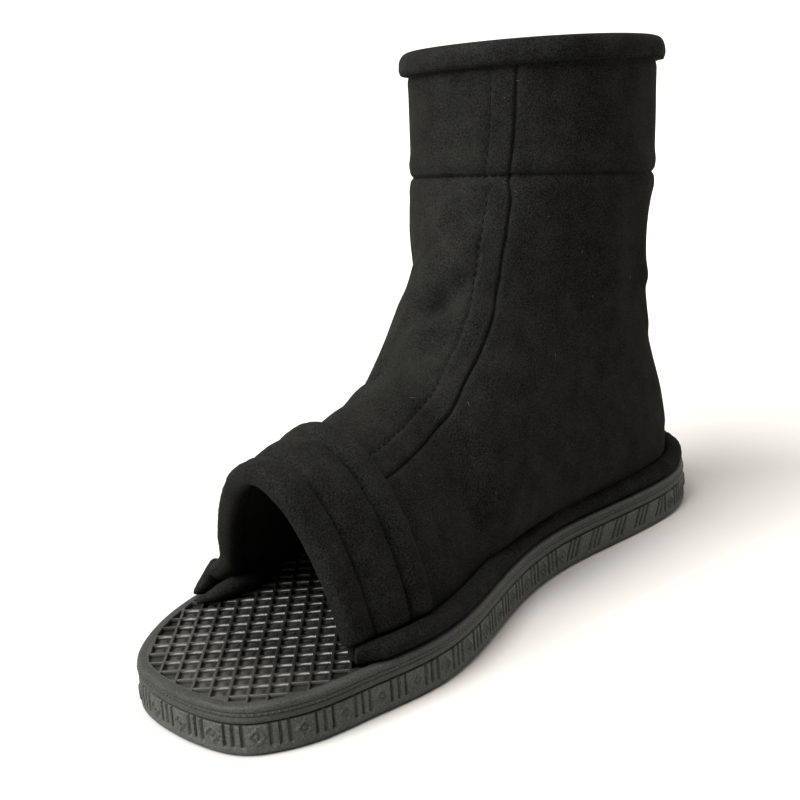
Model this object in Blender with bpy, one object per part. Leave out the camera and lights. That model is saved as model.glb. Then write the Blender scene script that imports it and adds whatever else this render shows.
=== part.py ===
# Ninja boot for the right foot: a cloth ankle boot with an open toe, on a sole of two foam layers.
# Toe towards -Y, inner side of the foot towards +X, floor at Z = 0.
# Sizes are millimetres, and solid() scales them to metres.
import math

import bmesh
import bpy
import numpy as np

MM = 0.001
GAP = 0.3

SOLE_LENGTH = 273.0
OUTSOLE_HEIGHT = 9.4
FOOTBED_BASE = OUTSOLE_HEIGHT + GAP
FOOTBED_TOP = 14.8
HEEL_TIP_X = 1.85
TOE_TIP_X = 19.8
EDGE_POINTS = 1200
EDGE_SPAN_POINTS = 60

# Sole outline, a row per station: distance from the heel end, half-width to the inner and outer side
SOLE_STATIONS = (
    (8, 20.5, 18.2),
    (25, 32.8, 29.2),
    (45, 38.0, 32.2),
    (80, 35.3, 34.3),
    (115, 31.7, 38.4),
    (150, 35.9, 43.6),
    (185, 44.5, 46.7),
    (212, 46.7, 45.7),
    (235, 42.3, 40.0),
    (254, 37.8, 30.1),
    (266, 31.0, 15.8),
)

# Upright grooves in the outsole's side, in groups of three with a plain panel after each group
GROUP_PITCH = 13.4
GROOVES_IN_GROUP = 3
GROOVE_PITCH = 2.7
GROOVE_WIDTH = 1.1
GROOVE_DEPTH = 0.8

# Rings of the outsole: height, inset from the sole's edge, and whether the ring follows the grooves
OUTSOLE_RINGS = (
    (0.0, 1.5, False), (1.6, 0.0, False), (2.6, 0.0, True),
    (8.0, 0.0, True), (8.6, 0.0, False), (OUTSOLE_HEIGHT, 0.6, False),
)

# Rings of the footbed, from the joint with the outsole to the rounded rim: height, inset
FOOTBED_RINGS = (
    (FOOTBED_BASE, 0.7), (FOOTBED_BASE + 0.6, 0.0), (FOOTBED_TOP - 1.0, 0.0),
    (FOOTBED_TOP - 0.3, 0.3), (FOOTBED_TOP, 1.0),
)
FOOTBED_POINTS = 112

# Upper: a wall whose foot stands inside the sole's edge, and its opening at the toe
WALL = 2.6
CUFF_FRONT_Z = 134.5
CUFF_BACK_Z = 123.3
COLLAR_FRONT_Z = 175.4
COLLAR_BACK_Z = 167.2
FEATHER_Z = FOOTBED_TOP + GAP
FEATHER_INSET = 6.6
TOE_CORNER_INNER_Y = -97.5
TOE_CORNER_OUTER_Y = -65.0

# Sections of the upper from toe to collar. Each runs from its crown over both sides to its ends, which
# stand on the sole as far as the heel (seat: 0 toe corner, 1 heel) and then climb the back (back_z).
# Cuff and collar lie lower at the back, and their bank raises them towards the inner side.
SECTION_COLUMNS = (
    "crown_y", "crown_z", "lean", "seat", "back_z", "wide_inner", "wide_outer", "roundness",
    "pinch_inner", "pinch_outer", "seam_inner", "seam_outer", "bank",
)
SECTIONS = {
    "toe_edge": (-102, 69.5, 7.5, 0.00, FEATHER_Z, 20, 20, 2.0, 0.28, 0.66, 42, 50, 0),
    "band_rear": (-66, 71.5, 5.5, 0.125, FEATHER_Z, 20, 20, 2.0, 0.25, 0.46, 40.5, 50, 0),
    "vamp": (-44, 74.5, 4.0, 0.23, FEATHER_Z, 20, 20, 2.0, 0.20, 0.28, 39, 50, 0),
    "low_instep": (-18, 80.5, 3.0, 0.37, FEATHER_Z, 34, 38, 2.0, 0.12, 0.10, 36, 52, 0),
    "instep": (-2.5, 91, 2.2, 0.53, FEATHER_Z, 33.5, 39.5, 2.0, 0.05, 0.02, 32.5, 56, 0),
    "throat": (6, 102, 1.85, 0.73, FEATHER_Z, 33.5, 41, 2.0, 0.0, 0.0, 29.5, 60, 0),
    "heel_girth": (12, 112, 1.85, 1.00, FEATHER_Z, 33.5, 41.5, 2.0, 0.0, 0.0, 28, 64, 0),
    "ankle": (16.3, 120, 1.4, 1.00, 60, 35, 41, 2.0, 0.0, 0.0, 27, 66, 0),
    "shaft": (20.5, 127, 0.8, 1.00, 92, 38.5, 40.5, 2.06, 0.0, 0.0, 26, 68, 0.015),
    "cuff_seam": (23.5, CUFF_FRONT_Z, 0.5, 1.00, CUFF_BACK_Z, 41, 40.5, 2.12, 0.0, 0.0, 26, 68, 0.033),
    "cuff": (24.5, 156.6, 0.5, 1.00, 146.5, 41.5, 40.2, 2.15, 0.0, 0.0, 26, 68, 0.05),
    "collar": (25, COLLAR_FRONT_Z, 0.5, 1.00, COLLAR_BACK_Z, 42, 40.5, 2.15, 0.0, 0.0, 26, 68, 0.063),
}
# Rows of the mesh after each section, as shares of the way to the next, closer at the waist and the seams
ZIP_RAMP = 0.3
SECTION_ROWS = {
    "toe_edge": (0, 1 / 3, 2 / 3),
    "band_rear": (0, 0.5),
    "vamp": (0, 0.5),
    "low_instep": (0, 0.33, 0.67),
    "instep": (0, 0.33, 0.67),
    "throat": (0, 0.3, 0.55, 0.8),
    "heel_girth": (0, 0.33, 0.67),
    "ankle": (0, ZIP_RAMP, 0.65),
    "shaft": (0, 0.5, 0.92),
    "cuff_seam": (0, 0.09, 0.55),
    "cuff": (0, 0.5),
    "collar": (0,),
}
FRONT_COLUMNS = 4
SIDE_COLUMNS = 10
SECTION_NAMES = tuple(SECTIONS)
HEEL_SECTION = SECTION_NAMES.index("heel_girth")
ZIP_FOOT_SECTION = SECTION_NAMES.index("ankle")
CUFF_SECTION = SECTION_NAMES.index("cuff_seam")
COLLAR_SECTION = SECTION_NAMES.index("collar")

# Back line of the upper: height and distance behind the sole's middle
BACK_LINE = (
    (FEATHER_Z, SOLE_LENGTH / 2 - FEATHER_INSET), (24, 127.5), (42, 119.5), (62, 111.5),
    (80, 106.5), (96, 106), (CUFF_BACK_Z, 111.4), (COLLAR_BACK_Z, 116.4),
)

# How softly a section's width passes from its width on the sole to its own
SOFTNESS = 1.3

# Share of a half section that the front panel takes, and the grooves of the seams
SEAM_U = 0.25
SEAM_HALF_U = 0.012
SEAM_GROOVE = 0.9
CUFF_GROOVE = 1.4

# Toe band: strips from the toe edge backwards, each with its start, end and height over the upper
BAND_LENGTH = 36.0
BAND_STRIPS = ((0.0, 9.0, 2.3), (9.0, 26.0, 2.0), (26.0, 36.0, 3.8))
BAND_VALLEY = 0.9
BAND_EDGE = 1.0
BAND_FOOT_CLEAR = 3 * GAP

HEM_HEIGHT = 5.6
HEM_STEPS = 76
HEM_CLEAR = 1.5 * GAP
HEM_TAIL_INNER = 1.5
HEM_TAIL_OUTER = 7.0
HEM_REACH_SPREAD = 7.0
# Hem profile: share of the way from wall to sole edge, and share of the height
HEM_PROFILE = ((0, 0), (0.62, 0), (0.93, 0.16), (1, 0.45), (0.92, 0.76), (0.66, 0.96), (0.34, 1), (0, 0.8))

# Binding profile: distance out from the wall's face, and height over the wall's top edge
BINDING_PROFILE = (
    (GAP, -5.0), (1.7, -5.2), (2.4, -3.4), (2.3, 0.3), (1.1, 2.0), (-1.3, 2.4), (-3.8, 2.0), (-4.7, 0.5),
    (-4.6, -2.2), (-WALL - GAP, -3.0), (-WALL - GAP, GAP), (GAP, GAP),
)
BINDING_BACK_HALF = 6.5

ZIP_SLIT_HALF = 4.0
TAPE_HALF = 3.3
TAPE_OUTER = -0.7
TAPE_INNER = -2.0
COIL_HALF = 2.2
COIL_CREST_HALF = 1.3
COIL_OUTER = 0.3
TAPE_TOP_Z = COLLAR_BACK_Z - 5.6
TAPE_BOTTOM_Z = 74.0
TAPE_STEPS = 12

SLIDER_HALF = 3.4
SLIDER_TOP_Z = COLLAR_BACK_Z - 1.8
SLIDER_BOTTOM_Z = COLLAR_BACK_Z - 14.2
SLIDER_PLATE = 1.4
PIVOT_Z = COLLAR_BACK_Z - 8.2
PIVOT_OUT = 1.0
BRIDGE_HALF = 1.1
BRIDGE_REACH = 2.6
BRIDGE_BAR = 1.0
BRIDGE_ROOT = 0.7
TAB_LENGTH = 22.0
TAB_HALF = 2.8
TAB_THICK = 1.0
TAB_PIN = 0.45
TAB_WINDOW_HALF = 1.45
TAB_WINDOW_END = 3.7
TAB_ARM = 1.0
TAB_SHOULDER = 1.5
TAB_TIP_POINTS = 9

CLOTH_BLACK = (0.012, 0.012, 0.011)
FOAM_GREY = (0.055, 0.053, 0.048)
ZIP_BLACK = (0.02, 0.02, 0.02)
SLIDER_METAL = (0.10, 0.095, 0.09)

# Angles below which neighbouring faces are shaded as one surface, and distance at which points are one
CLOTH_SMOOTH_DEG = 40
METAL_SMOOTH_DEG = 25
MERGE = 0.001

# Steps in t and u between the points that give a slope, and between those that feel for the wall's reach
SLOPE_T = 0.06
SLOPE_U = 0.004
FEEL_T = 0.06
FEEL_U = 0.012
SIDE_MIDDLE = 0.5
HALVINGS = 30
HEIGHT_SAMPLES = 60


def through(knots, values, at):
    # Smooth curve through the values that never overshoots them
    i = min(max(int(np.searchsorted(knots, at)) - 1, 0), len(knots) - 2)

    def slope(j):
        return (values[j + 1] - values[j]) / (knots[j + 1] - knots[j])

    def tangent(j):
        if j == 0:
            return slope(0)
        if j == len(knots) - 1:
            return slope(j - 1)
        before, after = slope(j - 1), slope(j)
        return 0.0 if before * after <= 0 else 2 * before * after / (before + after)

    span = knots[i + 1] - knots[i]
    s = (at - knots[i]) / span
    start = (1 + 2 * s) * (1 - s) ** 2 * values[i] + s * (1 - s) ** 2 * span * tangent(i)
    stop = s * s * (3 - 2 * s) * values[i + 1] - s * s * (1 - s) * span * tangent(i + 1)
    return start + stop


def closed_spline(points, count):
    # Points spaced evenly along a closed curve with continuous bending
    points = np.array(points, float)
    number = len(points)
    steps = np.sqrt(np.linalg.norm(np.roll(points, -1, axis=0) - points, axis=1))
    system = np.zeros((number, number))
    right = np.zeros((number, 2))
    for i in range(number):
        before, after = steps[i - 1], steps[i]
        system[i, i - 1] = before
        system[i, i] = 2 * (before + after)
        system[i, (i + 1) % number] = after
        ahead = (points[(i + 1) % number] - points[i]) / after
        behind = (points[i] - points[i - 1]) / before
        right[i] = 6 * (ahead - behind)
    bend = np.linalg.solve(system, right)
    dense = []
    for i in range(number):
        j, step = (i + 1) % number, steps[i]
        for s in np.linspace(0, step, EDGE_SPAN_POINTS, endpoint=False):
            r = step - s
            curve = (bend[i] * r**3 + bend[j] * s**3) / (6 * step)
            first = points[i] / step - bend[i] * step / 6
            second = points[j] / step - bend[j] * step / 6
            dense.append(curve + first * r + second * s)
    dense.append(dense[0])
    dense = np.array(dense)
    length = np.concatenate([[0], np.cumsum(np.linalg.norm(np.diff(dense, axis=0), axis=1))])
    at = np.linspace(0, length[-1], count, endpoint=False)
    return np.column_stack([np.interp(at, length, dense[:, k]) for k in range(2)]), length[-1]


def sole_edge():
    # From the heel end forward along the inner side, round the toe and back along the outer side
    half = SOLE_LENGTH / 2
    inner = [(wide, half - station) for station, wide, _ in SOLE_STATIONS]
    outer = [(-wide, half - station) for station, _, wide in SOLE_STATIONS]
    return closed_spline([(HEEL_TIP_X, half), *inner, (TOE_TIP_X, -half), *outer[::-1]], EDGE_POINTS)


EDGE, EDGE_LENGTH = sole_edge()
EDGE_RUN = np.roll(EDGE, -1, axis=0) - np.roll(EDGE, 1, axis=0)
EDGE_OUT = np.column_stack([-EDGE_RUN[:, 1], EDGE_RUN[:, 0]]) / np.linalg.norm(EDGE_RUN, axis=1)[:, None]


def edge_at(distance, inset=0.0):
    # Point of the sole's edge at a distance along it from the heel, moved inwards by the inset
    place = (distance % EDGE_LENGTH) / EDGE_LENGTH * len(EDGE)
    index = np.arange(len(EDGE) + 1)
    closed = np.vstack([EDGE - inset * EDGE_OUT, (EDGE - inset * EDGE_OUT)[:1]])
    return np.array([np.interp(place, index, closed[:, k]) for k in range(2)])


FEATHER = EDGE - FEATHER_INSET * EDGE_OUT


def feather_side(sign):
    # One side of the line where the upper stands on the sole, from its toe corner to the heel
    order = np.arange(len(FEATHER)) if sign > 0 else -np.arange(len(FEATHER))
    corner = TOE_CORNER_INNER_Y if sign > 0 else TOE_CORNER_OUTER_Y
    line = FEATHER[order]
    last = int(np.argmax(line[:, 1] < corner))
    line = line[: last + 1][::-1]
    length = np.concatenate([[0], np.cumsum(np.linalg.norm(np.diff(line, axis=0), axis=1))])
    return line, length / length[-1], last * EDGE_LENGTH / len(EDGE)


FEATHER_SIDES = {sign: feather_side(sign) for sign in (1, -1)}
SECTION_STEPS = np.arange(len(SECTIONS), dtype=float)
SECTION_VALUES = {name: [row[k] for row in SECTIONS.values()] for k, name in enumerate(SECTION_COLUMNS)}


def section(column, t):
    return through(SECTION_STEPS, SECTION_VALUES[column], t)


def back_y(z):
    return through([row[0] for row in BACK_LINE], [row[1] for row in BACK_LINE], z)


def section_end(t, sign):
    # Where the section's end lies, and how far it stands from the section's middle line
    if t < HEEL_SECTION:
        line, share, _ = FEATHER_SIDES[sign]
        seat = section("seat", t)
        x, y = (np.interp(seat, share, line[:, k]) for k in range(2))
        return y, FEATHER_Z, abs(x - section("lean", t))
    z = section("back_z", t)
    slit = ZIP_SLIT_HALF * min(max((t - ZIP_FOOT_SECTION) / ZIP_RAMP, 0), 1)
    return back_y(z), z, slit


def signed_power(value, power):
    return math.copysign(abs(value) ** power, value)


def larger(first, second):
    # Larger of two half-widths, with a soft change from one to the other
    return (first + second) / 2 + math.hypot((first - second) / 2, SOFTNESS)


def upper_point(t, u):
    # Outer face of the upper: t counts the sections from the toe, u runs from -1 (outer) to 1 (inner end)
    sign = 1 if u >= 0 else -1
    end_y, end_z, reach = section_end(t, sign)
    wide = larger(section("wide_inner" if sign > 0 else "wide_outer", t), reach)
    power = 2 / section("roundness", t)
    turn = math.pi - math.asin(min(reach / wide, 1.0) ** (1 / power))
    seam = math.radians(section("seam_inner" if sign > 0 else "seam_outer", t))
    share = abs(u)
    if share <= SEAM_U:
        angle = seam * share / SEAM_U
    else:
        angle = seam + (turn - seam) * (share - SEAM_U) / (1 - SEAM_U)
    depth = (1 - signed_power(math.cos(angle), power)) / (1 - signed_power(math.cos(turn), power))
    crown_y, crown_z = section("crown_y", t), section("crown_z", t)
    # The pinch draws a side in between crown and end, which makes an arch into a tent with flared feet
    place = angle / turn * math.pi / 2
    pinch = section("pinch_inner" if sign > 0 else "pinch_outer", t)
    pinched = pinch * (math.sin(place) + math.cos(place) - 1)
    off = sign * wide * (max(math.sin(angle), 0.0) ** power - pinched)
    y = crown_y + depth * (end_y - crown_y)
    z = crown_z + depth * (end_z - crown_z) + section("bank", t) * off
    return np.array([section("lean", t) + off, y, z])


def upper_normal(t, u):
    # Direction out of the upper's face
    along = upper_point(min(t + SLOPE_T, COLLAR_SECTION), u) - upper_point(max(t - SLOPE_T, 0), u)
    across = upper_point(t, min(u + SLOPE_U, 1)) - upper_point(t, max(u - SLOPE_U, -1))
    normal = np.cross(across, along)
    if abs(u) == 1 and t <= HEEL_SECTION:
        normal[2] = 0.0
    if abs(u) == 1 and HEEL_SECTION <= t <= ZIP_FOOT_SECTION:
        normal[0] = 0.0
    return normal / np.linalg.norm(normal)


def solid(name, points, faces, finish, smooth_deg=CLOTH_SMOOTH_DEG):
    # Named object from points in millimetres, with doubles merged and faces turned outwards
    mesh = bpy.data.meshes.new(name)
    shape = bmesh.new()
    made = [shape.verts.new(np.array(point) * MM) for point in points]
    for face in faces:
        shape.faces.new([made[k] for k in face])
    bmesh.ops.remove_doubles(shape, verts=shape.verts, dist=MERGE * MM)
    bmesh.ops.dissolve_degenerate(shape, edges=shape.edges, dist=MERGE * MM / 2)
    bmesh.ops.recalc_face_normals(shape, faces=shape.faces)
    bmesh.ops.triangulate(shape, faces=[face for face in shape.faces if len(face.verts) > 3])
    shape.to_mesh(mesh)
    shape.free()
    mesh.materials.append(finish)
    mesh.shade_smooth()
    mesh.set_sharp_from_angle(angle=math.radians(smooth_deg))
    obj = bpy.data.objects.new(name, mesh)
    bpy.context.scene.collection.objects.link(obj)
    return obj


def material(name, colour, roughness, metallic=0.0):
    made = bpy.data.materials.new(name)
    made.use_nodes = True
    shader = made.node_tree.nodes["Principled BSDF"]
    shader.inputs["Base Color"].default_value = (*colour, 1)
    shader.inputs["Roughness"].default_value = roughness
    shader.inputs["Metallic"].default_value = metallic
    return made


def loft(rings):
    # Points and faces of a tube through rings of equal size, with its ends filled
    count = len(rings[0])
    points = [point for ring in rings for point in ring]
    faces = [tuple(range(count)), tuple(range(len(points) - count, len(points)))]
    for low in range(0, len(points) - count, count):
        high = low + count
        for k in range(count):
            m = (k + 1) % count
            faces.append((low + k, low + m, high + m, high + k))
    return points, faces


def build_outsole(foam):
    # Plain rings above and below carry two points a group, and the grooved rings three a groove besides
    groups = round(EDGE_LENGTH / GROUP_PITCH)
    pitch = EDGE_LENGTH / groups
    half = GROOVE_WIDTH / 2
    grooved = []
    for k in range(GROOVES_IN_GROUP):
        middle = half + k * GROOVE_PITCH
        grooved += [(middle - half, 0), (middle, GROOVE_DEPTH), (middle + half, 0)]
    plain = [grooved[0], grooved[-1]]
    points, rings = [], []
    for z, inset, cut in OUTSOLE_RINGS:
        ring = []
        for group in range(groups):
            row = []
            for place, depth in grooved if cut else plain:
                x, y = edge_at(group * pitch + place, inset + depth)
                row.append(len(points))
                points.append((x, y, z))
            ring.append(row)
        rings.append(ring)
    faces = [tuple(k for row in rings[0] for k in row), tuple(k for row in rings[-1] for k in row)]
    for low, high in zip(rings, rings[1:]):
        for group in range(groups):
            after = (group + 1) % groups
            here, there = low[group], high[group]
            faces.append((here[-1], low[after][0], high[after][0], there[-1]))
            if len(here) == len(there):
                faces += [(here[k], here[k + 1], there[k + 1], there[k]) for k in range(len(here) - 1)]
            else:
                faces.append((*here, *there[::-1]))
    return solid("outsole", points, faces, foam)


def build_footbed(foam):
    distances = [EDGE_LENGTH * k / FOOTBED_POINTS for k in range(FOOTBED_POINTS)]
    rings = []
    for z, inset in FOOTBED_RINGS:
        rings.append([(*edge_at(distance, inset), z) for distance in distances])
    return solid("footbed", *loft(rings), foam)


def sheet_faces(wide, tall, open_sides):
    # Faces of a sheet of wide by tall points, of a second sheet behind it, and of the rims of its open sides
    shift = wide * tall
    faces = []
    for i in range(tall - 1):
        for j in range(wide - 1):
            a, b = i * wide + j, (i + 1) * wide + j
            faces.append((a, a + 1, b + 1, b))
            faces.append((a + shift, b + shift, b + 1 + shift, a + 1 + shift))
        for side in (0, wide - 1):
            a, b = i * wide + side, (i + 1) * wide + side
            if open_sides[i]:
                faces.append((a, b, b + shift, a + shift))
    for j in range(wide - 1):
        for row in (0, (tall - 1) * wide):
            faces.append((row + j, row + j + 1, row + j + 1 + shift, row + j + shift))
    return faces


def upper_rows():
    return [step + share for step, name in enumerate(SECTIONS) for share in SECTION_ROWS[name]]


def upper_columns():
    # Shares of the half sections, with three columns on each front seam
    front = [SEAM_U * k / FRONT_COLUMNS for k in range(FRONT_COLUMNS)]
    seam = [SEAM_U - SEAM_HALF_U, SEAM_U, SEAM_U + SEAM_HALF_U]
    side = [seam[-1] + (1 - seam[-1]) * k / SIDE_COLUMNS for k in range(1, SIDE_COLUMNS + 1)]
    right = front + seam + side
    return [-u for u in right[:0:-1]] + right


def build_upper(cloth):
    rows, columns = upper_rows(), upper_columns()
    outer, inner = [], []
    for t in rows:
        for u in columns:
            point, normal = upper_point(t, u), upper_normal(t, u)
            groove = CUFF_GROOVE * (t == CUFF_SECTION)
            if abs(u) == SEAM_U:
                groove = max(groove, SEAM_GROOVE)
            outer.append(point - groove * normal)
            lining = point - WALL * normal
            lining[2] = max(lining[2], FEATHER_Z)
            inner.append(lining)
    wide, tall = len(columns), len(rows)
    open_sides = [not HEEL_SECTION <= t < ZIP_FOOT_SECTION for t in rows[:-1]]
    return solid("upper", outer + inner, sheet_faces(wide, tall, open_sides), cloth)


def lowest_share(t, sign, z):
    # Share of the half section at which the upper comes down to the given height
    low, high = SEAM_U, 1.0
    for _ in range(HALVINGS):
        middle = (low + high) / 2
        if upper_point(t, sign * middle)[2] > z:
            low = middle
        else:
            high = middle
    return low


def build_toe_band(cloth):
    # Strips with rounded edges and valleys between them, laid over the upper's own face
    profile = []
    for start, stop, height in BAND_STRIPS:
        profile += [(start, BAND_VALLEY), (start + BAND_EDGE, height), (stop - BAND_EDGE, height)]
    profile.append((BAND_LENGTH, BAND_VALLEY))
    foot = FEATHER_Z + HEM_HEIGHT + BAND_FOOT_CLEAR
    ends = [[lowest_share(place / BAND_LENGTH, sign, foot) for sign in (-1, 1)] for place, _ in profile]
    middle = [u for u in upper_columns() if abs(u) < np.min(ends) - SEAM_HALF_U]
    outside, inside = [], []
    for (place, height), (low, high) in zip(profile, ends):
        t = place / BAND_LENGTH
        for u in [-low, *middle, high]:
            point, normal = upper_point(t, u), upper_normal(t, u)
            outside.append(point + (GAP + height) * normal)
            inside.append(point + GAP * normal)
    wide, tall = len(middle) + 2, len(profile)
    return solid("toe_band", outside + inside, sheet_faces(wide, tall, [True] * (tall - 1)), cloth)


def wall_reach():
    # How far the wall stands out from its foot along the sole's edge, below half and below full hem height
    reach = np.zeros((2, len(EDGE)))
    for t in np.arange(0, ZIP_FOOT_SECTION, FEEL_T):
        for u in np.arange(SIDE_MIDDLE, 1, FEEL_U):
            for sign in (1, -1):
                point = upper_point(t, sign * u)
                rise = (point[2] - FEATHER_Z) / HEM_HEIGHT
                if rise > 1:
                    continue
                away = np.linalg.norm(EDGE - point[:2], axis=1)
                k = int(np.argmin(away))
                level = 0 if rise < 0.5 else 1
                reach[level:, k] = np.maximum(reach[level:, k], FEATHER_INSET - away[k])
    spread = round(HEM_REACH_SPREAD / EDGE_LENGTH * len(EDGE))
    shifted = [np.roll(reach, k, axis=1) for k in range(-spread, spread + 1)]
    return np.max(shifted, axis=0)


def build_hem_roll(cloth):
    inner_end = FEATHER_SIDES[1][2] + HEM_TAIL_INNER
    outer_end = -FEATHER_SIDES[-1][2] - HEM_TAIL_OUTER
    reach = wall_reach()
    far = FEATHER_INSET - GAP
    rings = []
    for distance in np.linspace(outer_end, inner_end, HEM_STEPS + 1):
        foot = edge_at(distance, FEATHER_INSET)
        out = (edge_at(distance) - foot) / FEATHER_INSET
        place = round(distance / EDGE_LENGTH * len(EDGE)) % len(EDGE)
        ring = []
        for share, height in HEM_PROFILE:
            low, high = reach[:, place]
            near = HEM_CLEAR + np.interp(height, (0.5, 1), (low, high))
            x, y = foot + out * (near + share * (far - near))
            ring.append((x, y, FEATHER_Z + height * HEM_HEIGHT))
        rings.append(ring)
    return solid("hem_roll", *loft(rings), cloth)


def build_binding(cloth):
    # Rolled edge on the upper's own columns, as far as the back opening
    middle = section("lean", COLLAR_SECTION)
    columns = [
        u for u in upper_columns()
        if abs(u) < SIDE_MIDDLE or abs(upper_point(COLLAR_SECTION, u)[0] - middle) > BINDING_BACK_HALF
    ]
    steps = np.linspace(CUFF_SECTION, COLLAR_SECTION, HEIGHT_SAMPLES)
    heights = [section("crown_z", t) - COLLAR_FRONT_Z for t in steps]
    rings = []
    for u in columns:
        top_z = upper_point(COLLAR_SECTION, u)[2]
        ring = []
        for out, height in BINDING_PROFILE:
            t = float(np.interp(height, heights, steps))
            x, y, _ = upper_point(t, u) + out * upper_normal(t, u)
            ring.append((x, y, top_z + height))
        rings.append(ring)
    return solid("collar_binding", *loft(rings), cloth)


def zip_lean(z):
    # Middle of the zip across the boot, which follows the lean of the sections up the back
    steps = range(HEEL_SECTION, COLLAR_SECTION + 1)
    return float(np.interp(z, [section("back_z", t) for t in steps], [section("lean", t) for t in steps]))


def build_zip_tape(tape):
    profile = (
        (-TAPE_HALF, TAPE_INNER), (TAPE_HALF, TAPE_INNER), (TAPE_HALF, TAPE_OUTER), (COIL_HALF, TAPE_OUTER),
        (COIL_CREST_HALF, COIL_OUTER), (-COIL_CREST_HALF, COIL_OUTER), (-COIL_HALF, TAPE_OUTER),
        (-TAPE_HALF, TAPE_OUTER),
    )
    rings = []
    for z in np.linspace(TAPE_BOTTOM_Z, TAPE_TOP_Z, TAPE_STEPS + 1):
        rings.append([(zip_lean(z) + x, back_y(z) + out, z) for x, out in profile])
    return solid("zip_tape", *loft(rings), tape)


def pivot_y():
    return back_y(PIVOT_Z) + COIL_OUTER + GAP + SLIDER_PLATE + PIVOT_OUT


def plate(outline, low, high, axis):
    # Straight solid of an outline along one axis, the outline giving the other two in order
    rings = []
    for place in (low, high):
        rings.append([tuple(np.insert(np.array(point, float), axis, place)) for point in outline])
    return loft(rings)


def build_slider(metal):
    # A clip over the tape's top end: outer plate, neck and inner plate, with the bridge on the outer plate
    middle = zip_lean(PIVOT_Z)
    low, neck, high = SLIDER_BOTTOM_Z, TAPE_TOP_Z + GAP, SLIDER_TOP_Z

    def outside(z, over):
        return back_y(z) + COIL_OUTER + GAP + over, z

    def inside(z, under):
        return back_y(z) + TAPE_INNER - GAP - under, z

    clip = (
        outside(low, 0), outside(low, SLIDER_PLATE), outside(high, SLIDER_PLATE),
        inside(high, SLIDER_PLATE), inside(low, SLIDER_PLATE), inside(low, 0),
        inside(neck, 0), outside(neck, 0),
    )
    shape = plate(clip, middle - SLIDER_HALF, middle + SLIDER_HALF, 0)
    body = solid("zip_slider", *shape, metal, METAL_SMOOTH_DEG)
    root = pivot_y() - PIVOT_OUT - BRIDGE_ROOT
    under = pivot_y() + PIVOT_OUT
    over = under + BRIDGE_BAR
    low, high = PIVOT_Z - BRIDGE_REACH, PIVOT_Z + BRIDGE_REACH
    staple = (
        (root, low), (over, low), (over, high), (root, high), (root, high - BRIDGE_BAR),
        (under, high - BRIDGE_BAR), (under, low + BRIDGE_BAR), (root, low + BRIDGE_BAR),
    )
    shape = plate(staple, middle - BRIDGE_HALF, middle + BRIDGE_HALF, 0)
    bridge = solid("slider_bridge", *shape, metal, METAL_SMOOTH_DEG)
    bridge.hide_render = True
    bridge.display_type = "WIRE"
    union = body.modifiers.new("bridge", "BOOLEAN")
    union.operation = "UNION"
    union.object = bridge
    return body


def build_pull_tab(metal):
    # Flat tab with a window that straddles the bridge; its top bar turns under the bridge
    middle = zip_lean(PIVOT_Z)
    arm = TAB_WINDOW_HALF + TAB_ARM
    corner = TAB_LENGTH - TAB_HALF
    shoulder = -TAB_WINDOW_END - TAB_SHOULDER
    angles = np.linspace(0, math.pi, TAB_TIP_POINTS)
    tip = [(TAB_HALF * math.cos(angle), -corner - TAB_HALF * math.sin(angle)) for angle in angles]
    outer = [(arm, TAB_PIN), (arm, -TAB_WINDOW_END), (TAB_HALF, shoulder), *tip,
             (-TAB_HALF, shoulder), (-arm, -TAB_WINDOW_END), (-arm, TAB_PIN)]
    window = [(TAB_WINDOW_HALF, -TAB_PIN), (TAB_WINDOW_HALF, -TAB_WINDOW_END),
              (-TAB_WINDOW_HALF, -TAB_WINDOW_END), (-TAB_WINDOW_HALF, -TAB_PIN)]
    body = solid("zip_pull_tab", *plate(outer, -TAB_THICK / 2, TAB_THICK / 2, 1), metal, METAL_SMOOTH_DEG)
    cutter = solid("tab_window", *plate(window, -TAB_THICK, TAB_THICK, 1), metal, METAL_SMOOTH_DEG)
    cutter.hide_render = True
    cutter.display_type = "WIRE"
    cut = body.modifiers.new("window", "BOOLEAN")
    cut.operation = "DIFFERENCE"
    cut.object = cutter
    for piece in (body, cutter):
        piece.location = (middle * MM, pivot_y() * MM, PIVOT_Z * MM)
    return body


def main():
    for obj in list(bpy.data.objects):
        bpy.data.objects.remove(obj)
    foam = material("sole foam", FOAM_GREY, roughness=0.75)
    cloth = material("brushed cloth", CLOTH_BLACK, roughness=0.95)
    tape = material("zip tape", ZIP_BLACK, roughness=0.8)
    metal = material("zip metal", SLIDER_METAL, roughness=0.35, metallic=0.9)
    build_outsole(foam)
    build_footbed(foam)
    build_upper(cloth)
    build_toe_band(cloth)
    build_hem_roll(cloth)
    build_binding(cloth)
    build_zip_tape(tape)
    build_slider(metal)
    build_pull_tab(metal)


main()
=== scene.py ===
import math

import bmesh
import bpy
import numpy as np
from mathutils import Matrix, Vector, noise


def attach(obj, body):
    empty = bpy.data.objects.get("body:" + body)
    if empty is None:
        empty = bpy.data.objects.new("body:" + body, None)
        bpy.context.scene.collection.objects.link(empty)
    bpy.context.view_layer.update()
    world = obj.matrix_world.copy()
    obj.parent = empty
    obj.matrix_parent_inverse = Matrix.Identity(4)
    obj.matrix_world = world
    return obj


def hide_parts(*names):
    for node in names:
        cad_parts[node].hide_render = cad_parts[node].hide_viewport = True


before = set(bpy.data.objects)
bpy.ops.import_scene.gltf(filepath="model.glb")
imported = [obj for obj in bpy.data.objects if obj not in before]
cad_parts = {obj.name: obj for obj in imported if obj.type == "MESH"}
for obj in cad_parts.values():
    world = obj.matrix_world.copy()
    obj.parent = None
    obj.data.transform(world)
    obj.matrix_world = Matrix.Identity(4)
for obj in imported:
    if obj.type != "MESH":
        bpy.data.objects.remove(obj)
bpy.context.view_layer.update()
print("frame loaded:", len(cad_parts), "nodes")

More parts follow.
